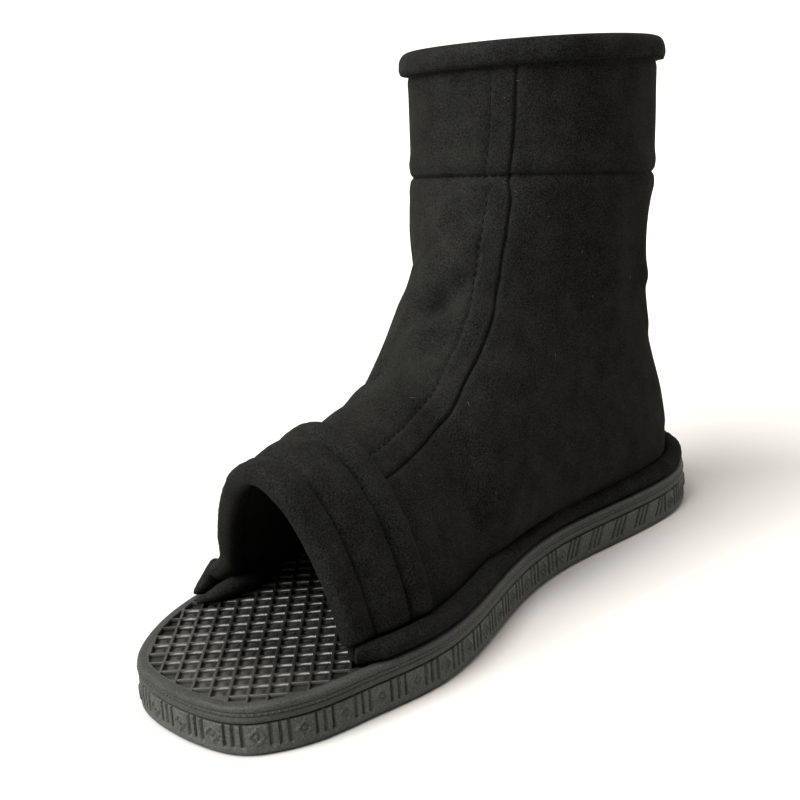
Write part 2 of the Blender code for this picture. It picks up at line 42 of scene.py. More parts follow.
mm = 0.001  # tables are in millimetres, toe towards -Y, inner side of the foot towards +X
mergeDistance = 1e-6
uvUnit = 100.0  # millimetres of cloth in one unit of the UV map
rng = np.random.default_rng(41)


# small curve and mesh helpers
def smoothThrough(knots, values, at):  # smooth curve through the values that never overshoots them
    knots, values = np.asarray(knots, float), np.asarray(values, float)
    at = np.asarray(at, float)
    slope = np.diff(values) / np.diff(knots)
    both = slope[:-1] * slope[1:]
    total = np.where(both > 0, slope[:-1] + slope[1:], 1.0)
    tangent = np.concatenate([slope[:1], np.where(both > 0, 2 * both / total, 0.0), slope[-1:]])
    i = np.clip(np.searchsorted(knots, at) - 1, 0, len(knots) - 2)
    span = knots[i + 1] - knots[i]
    s = (at - knots[i]) / span
    head = (1 + 2 * s) * (1 - s) ** 2 * values[i] + s * (1 - s) ** 2 * span * tangent[i]
    tail = s * s * (3 - 2 * s) * values[i + 1] - s * s * (1 - s) * span * tangent[i + 1]
    return head + tail


def arcOf(points):  # distance run along a row of points
    return np.concatenate([[0], np.cumsum(np.linalg.norm(np.diff(points, axis=0), axis=1))])


def alongRun(at, run, points):  # points at places between the given ones
    return np.stack([np.interp(at, run, points[:, k]) for k in range(points.shape[1])], axis=-1)


def unit(rows):
    return rows / np.linalg.norm(rows, axis=-1, keepdims=True)


def closedSpline(points, count):  # even points along a closed curve of continuous bending
    points = np.array(points, float)
    number = len(points)
    steps = np.sqrt(np.linalg.norm(np.roll(points, -1, axis=0) - points, axis=1))
    system, right = np.zeros((number, number)), np.zeros((number, 2))
    for i in range(number):
        before, after, j = steps[i - 1], steps[i], (i + 1) % number
        system[i, i - 1], system[i, i], system[i, j] = before, 2 * (before + after), after
        right[i] = 6 * ((points[j] - points[i]) / after - (points[i] - points[i - 1]) / before)
    bend = np.linalg.solve(system, right)
    dense = []
    for i in range(number):
        j, step = (i + 1) % number, steps[i]
        s = np.linspace(0, step, 60, endpoint=False)[:, None]
        r = step - s
        chord = (points[i] / step - bend[i] * step / 6) * r + (points[j] / step - bend[j] * step / 6) * s
        dense.append((bend[i] * r**3 + bend[j] * s**3) / (6 * step) + chord)
    dense = np.vstack([*dense, dense[0][:1]])
    length = arcOf(dense)
    at = np.linspace(0, length[-1], count, endpoint=False)
    return alongRun(at, length, dense), length[-1]


def openPath(points, count):  # even points along an open profile
    points = np.array(points, float)
    run = arcOf(points)
    at = np.linspace(0, run[-1], count)
    return np.column_stack([smoothThrough(run, points[:, k], at) for k in range(points.shape[1])])


def hump(distance, width):
    return np.exp(-((distance / width) ** 2))


def ease(low, high, at):
    s = np.clip((at - low) / (high - low), 0, 1)
    return s * s * (3 - 2 * s)


def lumps(points, size, seed):  # soft noise from -1 to 1
    flat = points.reshape(-1, 3) / size + seed
    return np.array([noise.noise(Vector(p)) for p in flat]).reshape(points.shape[:-1])


def swell(points, layers):  # a sum of soft lumps, each layer with its height, size and seed
    return sum(height * lumps(points, size, seed) for height, size, seed in layers)


def newMesh():
    bm = bmesh.new()
    bm.loops.layers.uv.verify()
    return bm


def openEdges(bm):
    return [line for line in bm.edges if line.is_boundary]


def extruded(bm, ring):  # the edges and corners of the new ring
    made = bmesh.ops.extrude_edge_only(bm, edges=ring)["geom"]
    kinds = (bmesh.types.BMEdge, bmesh.types.BMVert)
    return [[item for item in made if isinstance(item, kind)] for kind in kinds]


# a grid moved onto an array of points, with UV in cloth sizes
def clothGrid(bm, points, across, along, tag=None):
    rows, columns = points.shape[:2]
    made = bmesh.ops.create_grid(bm, x_segments=columns - 1, y_segments=rows - 1, size=1)["verts"]
    uv = bm.loops.layers.uv.verify()
    for vert in made:
        j = round((vert.co.x + 1) / 2 * (columns - 1))
        i = round((vert.co.y + 1) / 2 * (rows - 1))
        vert.co = points[i, j] * mm
        if tag:
            vert[tag] = i
        for loop in vert.link_loops:
            loop[uv].uv = (across[i, j] / uvUnit, along[i, j] / uvUnit)
    return made


def sweep(bm, rings):  # a tube through closed profiles, with its two ends filled
    rings = np.concatenate([rings, rings[:, :1]], axis=1)
    across = np.array([arcOf(ring) for ring in rings])
    along = np.repeat(arcOf(rings[:, 0])[:, None], rings.shape[1], axis=1)
    made = clothGrid(bm, rings, across, along)
    bmesh.ops.remove_doubles(bm, verts=made, dist=mergeDistance)
    bmesh.ops.holes_fill(bm, edges=openEdges(bm))


def toMesh(name, bm):
    mesh = bpy.data.meshes.new(name)
    bm.to_mesh(mesh)
    bm.free()
    mesh.shade_smooth()
    return mesh


def addObject(name, data):
    made = bpy.data.objects.new(name, data)
    bpy.context.scene.collection.objects.link(made)
    return made


def addPiece(name, bm, looks, slot, replaced=(), body="boot", sharpDeg=None):
    bmesh.ops.remove_doubles(bm, verts=bm.verts, dist=mergeDistance)
    bmesh.ops.recalc_face_normals(bm, faces=bm.faces)
    mesh = toMesh(name, bm)
    if sharpDeg:
        mesh.set_sharp_from_angle(angle=math.radians(sharpDeg))
    for look in looks:
        mesh.materials.append(finishes[look])
    made = addObject(name, mesh)
    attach(made, body)
    if replaced:
        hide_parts(*replaced)
    print("piece", name, len(mesh.polygons), "faces")
    return made


def addSwept(name, rings, *details, **options):
    bm = newMesh()
    sweep(bm, rings)
    return addPiece(name, bm, *details, **options)


# materials
def newFinish(name, specular=0.5, **sockets):
    made = bpy.data.materials.new(name)
    made.use_nodes = True
    shader = made.node_tree.nodes["Principled BSDF"]
    for socket, value in {"Specular IOR Level": specular, **sockets}.items():
        shader.inputs[socket].default_value = value
    return made, made.node_tree


def feed(tree, colour, normal=None, roughness=None):  # what drives the shader's main sockets
    sockets = tree.nodes["Principled BSDF"].inputs
    for socket, source in (("Base Color", colour), ("Normal", normal), ("Roughness", roughness)):
        if source:
            tree.links.new(source, sockets[socket])


def addNode(tree, kind, inputs, **settings):
    made = tree.nodes.new(kind)
    for key, value in settings.items():
        setattr(made, key, value)
    for socket, value in inputs.items():
        if isinstance(value, bpy.types.NodeSocket):
            tree.links.new(value, made.inputs[socket])
        else:
            made.inputs[socket].default_value = value
    return made


def objectPlace(tree):
    return addNode(tree, "ShaderNodeTexCoord", {}).outputs["Object"]


def noiseOf(tree, place, size, detail=3.0, rough=0.55):  # size in millimetres
    inputs = {"Vector": place, "Scale": 1 / (size * mm), "Detail": detail, "Roughness": rough}
    return addNode(tree, "ShaderNodeTexNoise", inputs).outputs["Fac"]


def remap(tree, value, low, high, outLow=0.0, outHigh=1.0):
    inputs = {0: value, 1: low, 2: high, 3: outLow, 4: outHigh}
    return addNode(tree, "ShaderNodeMapRange", inputs).outputs["Result"]


def maths(tree, operation, first, second):
    return addNode(tree, "ShaderNodeMath", {0: first, 1: second}, operation=operation).outputs[0]


def mixed(tree, share, first, second):
    inputs = {"Factor": share, 6: first, 7: second}
    return addNode(tree, "ShaderNodeMix", inputs, data_type="RGBA").outputs[2]


def bumped(tree, height, depth, strength=1.0, before=None):  # depth in millimetres
    inputs = {"Height": height, "Distance": depth * mm, "Strength": strength}
    if before:
        inputs["Normal"] = before
    return addNode(tree, "ShaderNodeBump", inputs).outputs["Normal"]


def waves(tree, place, scale, distortion, direction):
    inputs = {"Vector": place, "Scale": scale, "Distortion": distortion}
    return addNode(tree, "ShaderNodeTexWave", inputs, bands_direction=direction).outputs["Fac"]


def shaded(colour, shade):
    return (*(shade * part for part in colour), 1)


cloth = dict(dark=(0.0045, 0.0045, 0.0040), light=(0.0350, 0.0350, 0.0320), lint=(0.14, 0.13, 0.115, 1),
             napSize=0.5, napShare=0.9, mottleSize=9.0, mottleShare=0.22, tones=(0.38, 0.74),
             innerSide=(0.012, 0.040), innerShade=-0.07, speckPitch=3.6, weavePitch=0.85)


def brushedCloth(name, shade=1.0):
    sheen = {"Sheen Weight": 0.025, "Sheen Roughness": 0.35, "Sheen Tint": (0.62, 0.61, 0.56, 1)}
    made, tree = newFinish(name, 0.05, Roughness=0.95, **sheen)
    place = objectPlace(tree)
    nap = noiseOf(tree, place, cloth["napSize"], detail=4.0, rough=0.7)
    mottle = noiseOf(tree, place, cloth["mottleSize"], detail=4.0)
    blotches = maths(tree, "MULTIPLY", mottle, cloth["mottleShare"])
    tone = maths(tree, "ADD", maths(tree, "MULTIPLY", nap, cloth["napShare"]), blotches)
    # painted shade: the cloth's tone falls towards the inner (+X) side, darker there as if less lit
    inward = addNode(tree, "ShaderNodeSeparateXYZ", {"Vector": place}).outputs["X"]
    tone = maths(tree, "ADD", tone, remap(tree, inward, *cloth["innerSide"], 0.0, cloth["innerShade"]))
    dark, light = shaded(cloth["dark"], shade), shaded(cloth["light"], shade)
    colour = mixed(tree, remap(tree, tone, *cloth["tones"]), dark, light)
    speckCells = {"Vector": place, "Scale": 1 / (cloth["speckPitch"] * mm), "Randomness": 1.0}
    speck = addNode(tree, "ShaderNodeTexVoronoi", speckCells).outputs["Distance"]
    sparse = remap(tree, noiseOf(tree, place, 7.0, detail=2.0), 0.56, 0.66)
    speck = maths(tree, "MULTIPLY", remap(tree, speck, 0.045, 0.03), sparse)
    uv = addNode(tree, "ShaderNodeTexCoord", {}).outputs["UV"]
    scale = uvUnit / cloth["weavePitch"] / math.pi  # about one wave to a weave pitch
    weave = maths(tree, "MULTIPLY", *(waves(tree, uv, scale, 0.6, direction) for direction in "XY"))
    bump = bumped(tree, nap, 0.30, 0.9, bumped(tree, weave, 0.10, 0.5))
    feed(tree, mixed(tree, speck, colour, cloth["lint"]), bumped(tree, mottle, 0.4, 0.2, bump))
    return made


foam = dict(dark=(0.031, 0.0322, 0.0276), light=(0.098, 0.101, 0.087), tones=(0.37, 0.63),
            grainSize=0.55, grainShare=0.75, blotchSize=16.0, blotchShare=0.25)


def soleFoam(name, shade=1.0, roughness=0.62):
    made, tree = newFinish(name, 0.35)
    place = objectPlace(tree)
    grain = noiseOf(tree, place, foam["grainSize"], detail=3.0, rough=0.7)
    blotch = noiseOf(tree, place, foam["blotchSize"], detail=5.0, rough=0.62)
    speckle = maths(tree, "MULTIPLY", grain, foam["grainShare"])
    tone = maths(tree, "ADD", speckle, maths(tree, "MULTIPLY", blotch, foam["blotchShare"]))
    dark, light = shaded(foam["dark"], shade), shaded(foam["light"], shade)
    colour = mixed(tree, remap(tree, tone, *foam["tones"]), dark, light)
    skin = bumped(tree, noiseOf(tree, place, 2.6, detail=3.0), 0.25, 0.35, bumped(tree, grain, 0.2, 0.8))
    feed(tree, colour, skin, remap(tree, blotch, 0.3, 0.7, roughness - 0.07, roughness + 0.08))
    return made


def netFoam(name, dark, light, shine):
    made, tree = newFinish(name, shine, **{"Coat Weight": 0.12, "Coat Roughness": 0.3})
    place = objectPlace(tree)
    wear = noiseOf(tree, place, 12.0, detail=4.0)
    toeward = addNode(tree, "ShaderNodeSeparateXYZ", {"Vector": place}).outputs["Y"]
    dust = remap(tree, toeward, -0.100, -0.130, 0.0, 0.7)
    dust = maths(tree, "ADD", dust, remap(tree, wear, 0.45, 0.75, 0.0, 0.5))
    grain = bumped(tree, noiseOf(tree, place, 0.45, detail=2.0), 0.1, 0.7)
    feed(tree, mixed(tree, dust, dark, light), grain, remap(tree, dust, 0.0, 1.0, 0.30, 0.5))
    return made


def tapeFinish():
    made, tree = newFinish("zip tape weave", 0.25, Roughness=0.85)
    place = objectPlace(tree)
    ribs = waves(tree, place, 260.0, 0.4, "Z")
    tone = maths(tree, "MULTIPLY", ribs, noiseOf(tree, place, 0.6, detail=2.0))
    colour = mixed(tree, tone, (0.008, 0.008, 0.008, 1), (0.03, 0.03, 0.029, 1))
    feed(tree, colour, bumped(tree, ribs, 0.15, 0.7))
    return made


# one noise for tone and gloss, another for the bump with its depth and strength
def wornFinish(name, grain, tones, dark, light, bump=None, gloss=None, **sockets):
    made, tree = newFinish(name, **sockets)
    place = objectPlace(tree)
    wear = noiseOf(tree, place, *grain)
    colour = mixed(tree, remap(tree, wear, *tones), dark, light)
    normal = bumped(tree, noiseOf(tree, place, *bump[:2]), *bump[2:]) if bump else None
    feed(tree, colour, normal, remap(tree, wear, 0.3, 0.7, *gloss) if gloss else None)
    return made


finishes = dict(
    # the lining is the same cloth made 1.6 times lighter: painted light inside the dim boot
    cloth=brushedCloth("brushed black cloth"), lining=brushedCloth("cloth lining painted lighter", 1.6),
    foam=soleFoam("grey sole foam"), bed=soleFoam("grey footbed foam", 0.62, 0.6),
    net=netFoam("net ridges", (0.026, 0.026, 0.0225, 1), (0.055, 0.054, 0.046, 1), 0.6),
    # the cell floors are the same foam painted darker: painted shade in the recesses
    shadedCells=netFoam("net cells painted shade", (0.007, 0.007, 0.006, 1), (0.045, 0.044, 0.037, 1), 0.45),
    tape=tapeFinish(),
    thread=wornFinish("black thread", (0.35, 2.0), (0, 1), (0.003, 0.003, 0.003, 1), (0.009, 0.009, 0.008, 1),
                      bump=(0.35, 2.0, 0.12, 0.7), specular=0.1, Roughness=0.8),
    coil=wornFinish("nylon coil", (1.5, 3.0), (0, 1), (0.007, 0.007, 0.007, 1), (0.02, 0.02, 0.02, 1),
                    gloss=(0.25, 0.42)),
    metal=wornFinish("dark zip metal", (2.2, 5.0, 0.65), (0.5, 0.75), (0.06, 0.059, 0.057, 1),
                     (0.12, 0.117, 0.112, 1), bump=(0.7, 3.0, 0.04, 0.5), gloss=(0.42, 0.26), Metallic=0.85),
    lint=newFinish("pale lint", Roughness=0.9, **{"Base Color": (0.12, 0.118, 0.108, 1)})[0],
)
print("materials made:", len(finishes))

# outline of the sole
sole = dict(length=273.0, heelTipX=1.85, toeTipX=19.8, bedTop=14.8, edgePoints=4800)
soleStations = (  # from the heel end, half-width to the inner side, to the outer side
    (8, 20.5, 18.2), (25, 32.8, 29.2), (45, 38.0, 32.2), (80, 35.3, 34.3), (115, 31.7, 38.4),
    (150, 35.9, 43.6), (185, 44.5, 46.7), (212, 46.7, 45.7), (235, 42.3, 40.0), (254, 37.8, 30.1),
    (266, 31.0, 15.8),
)
half = sole["length"] / 2
innerSide = [(wide, half - station) for station, wide, _ in soleStations]
outerSide = [(-wide, half - station) for station, _, wide in soleStations]
edge, edgeLength = closedSpline(
    [(sole["heelTipX"], half), *innerSide, (sole["toeTipX"], -half), *outerSide[::-1]], sole["edgePoints"])
edgeRun = np.roll(edge, -1, axis=0) - np.roll(edge, 1, axis=0)
edgeOut = unit(np.column_stack([-edgeRun[:, 1], edgeRun[:, 0]]))


def edgeAt(distance, inset):  # points at distances from the heel, the inner side first
    place = (np.asarray(distance) % edgeLength) / edgeLength * len(edge)
    index = np.arange(len(edge) + 1)
    base, out = (alongRun(place, index, np.vstack([rows, rows[:1]])) for rows in (edge, edgeOut))
    return base - np.reshape(inset, (-1, 1)) * out


def nearestEdge(points):  # index of the nearest edge sample, and the depth inside the edge
    found = []
    batch, stride = 400, 4  # points at a time, and every fourth sample of the edge
    for start in range(0, len(points), batch):
        part = points[start:start + batch]
        away = ((part[:, None] - edge[None, ::stride]) ** 2).sum(2)
        found.append(away.argmin(1) * stride)
    k = np.concatenate(found)
    return k, ((edge[k] - points) * edgeOut[k]).sum(1)


stitch = dict(length=2.2, pitch=3.0, radius=0.26, sink=0.08)

# upper: the same sections as its solid, dressed with seams, puffed panels and creases
upper = dict(wall=2.6, featherZ=15.1, featherInset=6.6, innerCornerY=-97.5, outerCornerY=-65.0,
             softness=1.3, seamU=0.25, seamSamples=4000, slitHalf=4.0, slitRamp=0.3)
sectionColumns = ("crownY", "crownZ", "lean", "seat", "backZ", "wideInner", "wideOuter", "roundness",
                  "pinchInner", "pinchOuter", "bank")
sectionRows = {
    "toeEdge": (-102, 69.5, 7.5, 0.0, 15.1, 20, 20, 2.0, 0.28, 0.66, 0),
    "bandRear": (-66, 71.5, 5.5, 0.125, 15.1, 20, 20, 2.0, 0.25, 0.46, 0),
    "vamp": (-44, 74.5, 4.0, 0.23, 15.1, 20, 20, 2.0, 0.20, 0.28, 0),
    "lowInstep": (-18, 80.5, 3.0, 0.37, 15.1, 34, 38, 2.0, 0.12, 0.10, 0),
    "instep": (-2.5, 91, 2.2, 0.53, 15.1, 33.5, 39.5, 2.0, 0.05, 0.02, 0),
    "throat": (6, 102, 1.85, 0.73, 15.1, 33.5, 41, 2.0, 0.0, 0.0, 0),
    "heelGirth": (12, 112, 1.85, 1.0, 15.1, 33.5, 41.5, 2.0, 0.0, 0.0, 0),
    "ankle": (16.3, 120, 1.4, 1.0, 60, 35, 41, 2.0, 0.0, 0.0, 0),
    "shaft": (20.5, 127, 0.8, 1.0, 92, 38.5, 40.5, 2.06, 0.0, 0.0, 0.015),
    "cuffSeam": (23.5, 134.5, 0.5, 1.0, 123.3, 41, 40.5, 2.12, 0.0, 0.0, 0.033),
    "cuff": (24.5, 156.6, 0.5, 1.0, 146.5, 41.5, 40.2, 2.15, 0.0, 0.0, 0.05),
    "collar": (25, 175.4, 0.5, 1.0, 167.2, 42, 40.5, 2.15, 0.0, 0.0, 0.063),
}
backLine = (  # height and place of the back
    (15.1, 129.9), (24, 127.5), (42, 119.5), (62, 111.5), (80, 106.5), (96, 106), (123.3, 111.4),
    (167.2, 116.4),
)
sectionStep = {name: step for step, name in enumerate(sectionRows)}
heelStep, slitStep = sectionStep["heelGirth"], sectionStep["ankle"]
cuffStep, collarStep = sectionStep["cuffSeam"], sectionStep["collar"]


def sectionAt(column, t):
    k = sectionColumns.index(column)
    return float(smoothThrough(range(len(sectionRows)), [row[k] for row in sectionRows.values()], t))


def backY(z):
    return smoothThrough(*zip(*backLine), z)


def featherSide(sign):  # where the wall stands on the sole, from its toe corner to the heel
    line = (edge - upper["featherInset"] * edgeOut)[np.arange(len(edge)) * sign]
    corner = upper["innerCornerY"] if sign > 0 else upper["outerCornerY"]
    last = int(np.argmax(line[:, 1] < corner))
    line = line[: last + 1][::-1]
    run = arcOf(line)
    return line, run / run[-1], last * edgeLength / len(edge)


featherSides = {sign: featherSide(sign) for sign in (1, -1)}
seamPoints = {  # the inner (1) and outer (-1) side seams in the side view: y and z
    1: ((-102, 57), (-68, 58), (-42, 61), (-29, 64.5), (-19.5, 71), (-1, 82.5), (13, 96), (19, 107.5),
        (22.7, 119), (26, 130), (28, 146), (30, 178)),
    -1: ((-102, 50), (-66, 51), (-28, 58), (3, 71), (27, 88.5), (41, 110), (49.5, 132), (53, 157),
         (54, 178)),
}
seamLines = {sign: openPath(points, upper["seamSamples"]) for sign, points in seamPoints.items()}


# where a section crosses a seam, as an angle round from its crown
def seamAngle(line, crown, end, turn, power):
    down = np.subtract(end, crown)
    away = line - crown
    nearest = np.argmin(np.abs(away[:, 0] * down[1] - away[:, 1] * down[0]))
    depth = away[nearest] @ down / (down @ down)
    cosine = 1 - depth * (1 + abs(math.cos(turn)) ** power)
    return math.acos(math.copysign(abs(cosine) ** (1 / power), cosine))


def upperRow(t, us):  # outer face of one section, us from -1 (outer end) to 1 (inner end)
    points = np.zeros((len(us), 3))
    lean, power = sectionAt("lean", t), 2 / sectionAt("roundness", t)
    crownY, crownZ, bank = sectionAt("crownY", t), sectionAt("crownZ", t), sectionAt("bank", t)
    for sign, side in ((1, "Inner"), (-1, "Outer")):
        if t < heelStep:
            line, share, _ = featherSides[sign]
            x, endY = alongRun(sectionAt("seat", t), share, line)
            endZ, reach = upper["featherZ"], abs(x - lean)
        else:
            endZ = sectionAt("backZ", t)
            opened = min(max((t - slitStep) / upper["slitRamp"], 0), 1)
            endY, reach = backY(endZ), upper["slitHalf"] * opened
        own = sectionAt("wide" + side, t)
        wide = (own + reach) / 2 + math.hypot((own - reach) / 2, upper["softness"])
        turn = math.pi - math.asin(min(reach / wide, 1.0) ** (1 / power))
        seam = seamAngle(seamLines[sign], (crownY, crownZ), (endY, endZ), turn, power)
        seamU = upper["seamU"]
        pick = us >= 0 if sign > 0 else us < 0
        share = np.abs(us[pick])
        angle = np.where(share <= seamU, seam * share / seamU,
                         seam + (turn - seam) * (share - seamU) / (1 - seamU))
        cosine = np.cos(angle)
        depth = (1 - np.sign(cosine) * np.abs(cosine) ** power) / (1 + abs(math.cos(turn)) ** power)
        place = angle / turn * math.pi / 2
        pinched = sectionAt("pinch" + side, t) * (np.sin(place) + np.cos(place) - 1)
        off = sign * wide * (np.maximum(np.sin(angle), 0) ** power - pinched)
        points[pick, 0] = lean + off
        points[pick, 1] = crownY + depth * (endY - crownY)
        points[pick, 2] = crownZ + depth * (endZ - crownZ) + bank * off
    return points


def upperFace(ts, us, stepT=0.06, stepU=0.004):  # points of the outer face and the directions out of it
    ts, us = np.asarray(ts, float), np.asarray(us, float)

    def moved(byT, byU):
        nearUs = np.clip(us + byU, -1, 1)
        return np.array([upperRow(t, nearUs) for t in np.clip(ts + byT, 0, collarStep)])

    normal = np.cross(moved(0, stepU) - moved(0, -stepU), moved(stepT, 0) - moved(-stepT, 0))
    ends = np.abs(us) == 1
    normal[np.ix_(ts <= heelStep, ends, [2])] = 0
    normal[np.ix_((ts >= heelStep) & (ts <= slitStep), ends, [0])] = 0
    return moved(0, 0), unit(normal)


# rows and columns are closer together where seams run
rowSpans = ((0, 1, 12), (1, 2, 15), (2, 3, 19), (3, 4, 22), (4, 5, 23), (5, 6, 25), (6, 7, 22), (7, 7.3, 6),
            (7.3, 8, 12), (8, 8.3, 5), (8.3, 9, 20), (9, 9.3, 11), (9.3, 10, 10), (10, 11, 15))
innerSpans = ((0, 0.1, 8), (0.1, 0.3, 48), (0.3, 1, 50))
outerSpans = ((0, 0.1, 7), (0.1, 0.3, 36), (0.3, 1, 47))


def spread(spans):  # places along spans, each with its start, end and number of steps
    return np.concatenate([[spans[0][0]], *[np.linspace(low, high, n + 1)[1:] for low, high, n in spans]])


upperTs = spread(rowSpans)
upperUs = np.concatenate([-spread(outerSpans)[:0:-1], spread(innerSpans)])
facePoints, faceNormals = upperFace(upperTs, upperUs)
isInner = upperUs >= 0


def columnAt(u):
    return int(np.argmin(np.abs(upperUs - u)))


def rowAt(t):
    return int(np.argmin(np.abs(upperTs - t)))


# distances over the cloth: from the crown, along the boot, to the seams and to the edges
across = np.array([arcOf(row) for row in facePoints])
across -= across[:, [columnAt(0)]]
along = np.column_stack([arcOf(facePoints[:, j]) for j in range(len(upperUs))])
innerSeam, outerSeam = columnAt(upper["seamU"]), columnAt(-upper["seamU"])
toFront = np.where(isInner, across[:, [innerSeam]] - across, across - across[:, [outerSeam]])
toEnd = np.where(isInner, across[:, [-1]] - across, across - across[:, [0]])
fromCuff = along - along[[rowAt(cuffStep)]]
toCollar = along[[-1]] - along

seams = dict(stitchAt=8.6, slitStitchAt=5.5, bindingAt=5.6, stripHeight=0.3)
foldLumps = ((0.3, 24.0, 3.1), (0.14, 9.0, 8.4))  # height, size and seed
creases = (  # soft troughs (negative depth) and ridges: start, end, width, depth
    ((-9, 0, 91.5), (1, 2, 95.5), 4.6, -3.0),
    ((1, 2, 95.5), (8, 7.5, 101.5), 4.6, -2.7),
    ((-12, 12, 104), (4, 10, 106.5), 7.5, 1.8),
    ((-13, -1, 88), (3, -4, 89.6), 4.6, 1.0),
    ((3, -4, 89.6), (11, 1, 93), 4.6, 0.8),
    ((-15, -2, 84), (3, -10, 84.5), 4.6, -2.0),
    ((3, -10, 84.5), (9, -12, 82.5), 4.0, -1.5),
    ((-20, -8, 78), (-4, -17, 80.5), 7.0, -4.4),
    ((-4, -17, 80.5), (5, -18, 80), 5.0, -1.4),
    ((-10, -31, 75), (5, -28, 78), 4.0, 1.4),
    ((-12, -40, 73), (2, -39, 75.5), 3.6, -1.4),
    ((4, -43, 74.5), (12, -35, 74), 7.0, 1.2),
    ((-1, 16.5, 120), (8, 19.5, 123.5), 3.0, -1.0),
    ((12, 20, 127), (15, 15, 104), 5.0, -1.0),
    ((-4, 18, 124), (-2, 14, 108), 6.0, 1.0),
    ((30, 44, 118), (31, 44, 98), 9.0, -1.2),
    ((33, 78, 122), (33, 81, 92), 4.5, 1.7),
    ((33, 81, 92), (32, 90, 74), 4.5, 1.3),
    ((34, 66, 118), (33, 72, 86), 7.0, -1.3),
    ((-34, 30, 104), (-38, 52, 88), 8.0, -1.7),
    ((-28, 18, 92), (-36, 36, 74), 9.0, 1.0),
    ((-38, 74, 98), (-33, 92, 78), 8.0, -1.8),
    ((2, 106, 92), (16, 104, 87), 6.5, -1.0),
    ((0, 106, 84), (-15, 104, 90), 6.5, -1.0),
)


def segmentDistance(points, start, end):
    start, run = np.array(start, float), np.subtract(end, start)
    share = np.clip(((points - start) @ run) / (run @ run), 0, 1)
    return np.linalg.norm(points - start - share[..., None] * run, axis=2)


# how far the folds move the whole wall, and the seams its outer face, along the normal
def upperRelief():
    folds = swell(facePoints, foldLumps)
    for start, end, width, depth in creases:
        folds = folds + depth * hump(segmentDistance(facePoints, start, end), width)
    calm = ease(4, 16, facePoints[:, :, 2] - upper["featherZ"]) * ease(0.95, 1.5, upperTs)[:, None]
    folds = folds * calm * ease(4, 16, toCollar) * (0.4 + 0.6 * ease(2, 12, np.abs(toFront)))
    strip = ease(0.3, 1.6, toFront) * ease(seams["stitchAt"] - 0.3, seams["stitchAt"] - 1.8, toFront)
    tuck = hump(fromCuff + 2.4, 2.0) * hump(toFront - seams["stitchAt"] + 1.0, 2.2) * isInner
    puckerAlong, puckerAcross = (np.cos(2 * np.pi * run / stitch["pitch"]) for run in (along, across))
    behindBand = ease(0.9, 1.1, upperTs)[:, None]
    onSlit = ease(slitStep + 0.1, slitStep + 0.4, upperTs)[:, None]
    onBack = ease(heelStep + 0.05, heelStep + 0.3, upperTs)[:, None] * (1 - onSlit)
    seam = seams["stripHeight"] * strip * behindBand + tuck
    for distance, place, width, height, share in (  # rolls and grooves that run beside the edges and seams
        (toFront, -2.2, 1.6, 0.2, behindBand),
        (toFront, 0, 0.5, -1.1, behindBand),
        (toFront, seams["stitchAt"], 0.8, -0.45, behindBand * (0.75 + 0.25 * puckerAlong)),
        (fromCuff, 4.2, 3.0, 0.55, 1),
        (fromCuff, -4.2, 3.0, 0.44, 1),
        (fromCuff, 0, 0.7, -1.3, 0.8 + 0.2 * puckerAcross),
        (toEnd, 0, 1.2, -0.9, onSlit),
        (toEnd, seams["slitStitchAt"], 0.8, -0.5, onSlit),
        (toEnd, 0, 1.0, -0.9, onBack),
        (toCollar, seams["bindingAt"] + 0.6, 1.0, -0.5, 1),
    ):
        seam = seam + height * share * hump(distance - place, width)
    return folds, seam


folds, seamRelief = upperRelief()
outerFace = facePoints + (folds + seamRelief)[:, :, None] * faceNormals
innerFace = facePoints + (folds - upper["wall"])[:, :, None] * faceNormals
innerFace[:, :, 2] = np.maximum(innerFace[:, :, 2], upper["featherZ"])


def makeUpper():
    bm = newMesh()
    row = bm.verts.layers.int.new("row")
    clothGrid(bm, outerFace, across, along, row)
    outside = len(bm.faces)
    clothGrid(bm, innerFace, across, along, row)
    bm.faces.ensure_lookup_table()
    for face in bm.faces[outside:]:
        face.material_index = 1
    bmesh.ops.remove_doubles(bm, verts=bm.verts, dist=mergeDistance)
    heelRow = rowAt(heelStep)
    rims = openEdges(bm)
    toeRim = [line for line in rims if max(vert[row] for vert in line.verts) <= heelRow]
    collarRim = [line for line in rims if min(vert[row] for vert in line.verts) > heelRow]
    for rim in (toeRim, collarRim):
        bmesh.ops.bridge_loops(bm, edges=rim)
    addPiece("cloth_upper", bm, ["cloth", "lining"], "brushed_cloth", ["upper"])


makeUpper()

# toe band: three padded strips over the toe end, its front edge folded round the wall's edge
band = dict(length=36.0, footZ=20.9, columns=150, outsidePoints=110, clear=0.35, endRound=0.035,
            endHeight=0.45, flare=4.0, flareTo=16.0, lumps=((0.3, 7.0, 5.0), (0.2, 2.2, 3.0)))
bandOutside = (  # place behind the toe edge, height over the upper's face
    (36.6, 0.5), (36.7, 1.6), (35.6, 2.9), (33.0, 3.7), (30.2, 3.6), (28.0, 2.8), (26.6, 1.5), (26.0, 0.7),
    (25.6, 0.5), (25.2, 0.8), (24.3, 1.8), (22.0, 2.6), (17.5, 2.9), (12.6, 2.6), (10.6, 1.8), (9.8, 0.8),
    (9.4, 0.5), (9.0, 0.8), (8.1, 1.7), (6.6, 2.2), (3.6, 2.5), (0.8, 2.4), (-0.9, 1.7), (-1.6, 0.3),
    (-1.7, -1.6), (-1.2, -3.2), (0.4, -4.1), (3.4, -4.2), (6.8, -3.9), (8.4, -3.3),
)
bandReturn = ((8.0, -2.9), (4.0, -2.9), (-0.35, -2.9), (-0.35, 0.0), (-0.3, 0.3), (6, 0.35), (16, 0.35),
              (26, 0.35), (36.2, 0.35))


# points and normals of the upper's face at a place behind the toe edge, or before it
def bandFrame(place, us):
    points, normals = upperFace([max(place, 0) / band["length"]], us)
    if place < 0:
        inside, _ = upperFace([0.02], us)
        points = points + place * unit(inside - points)
    return points[0], normals[0]


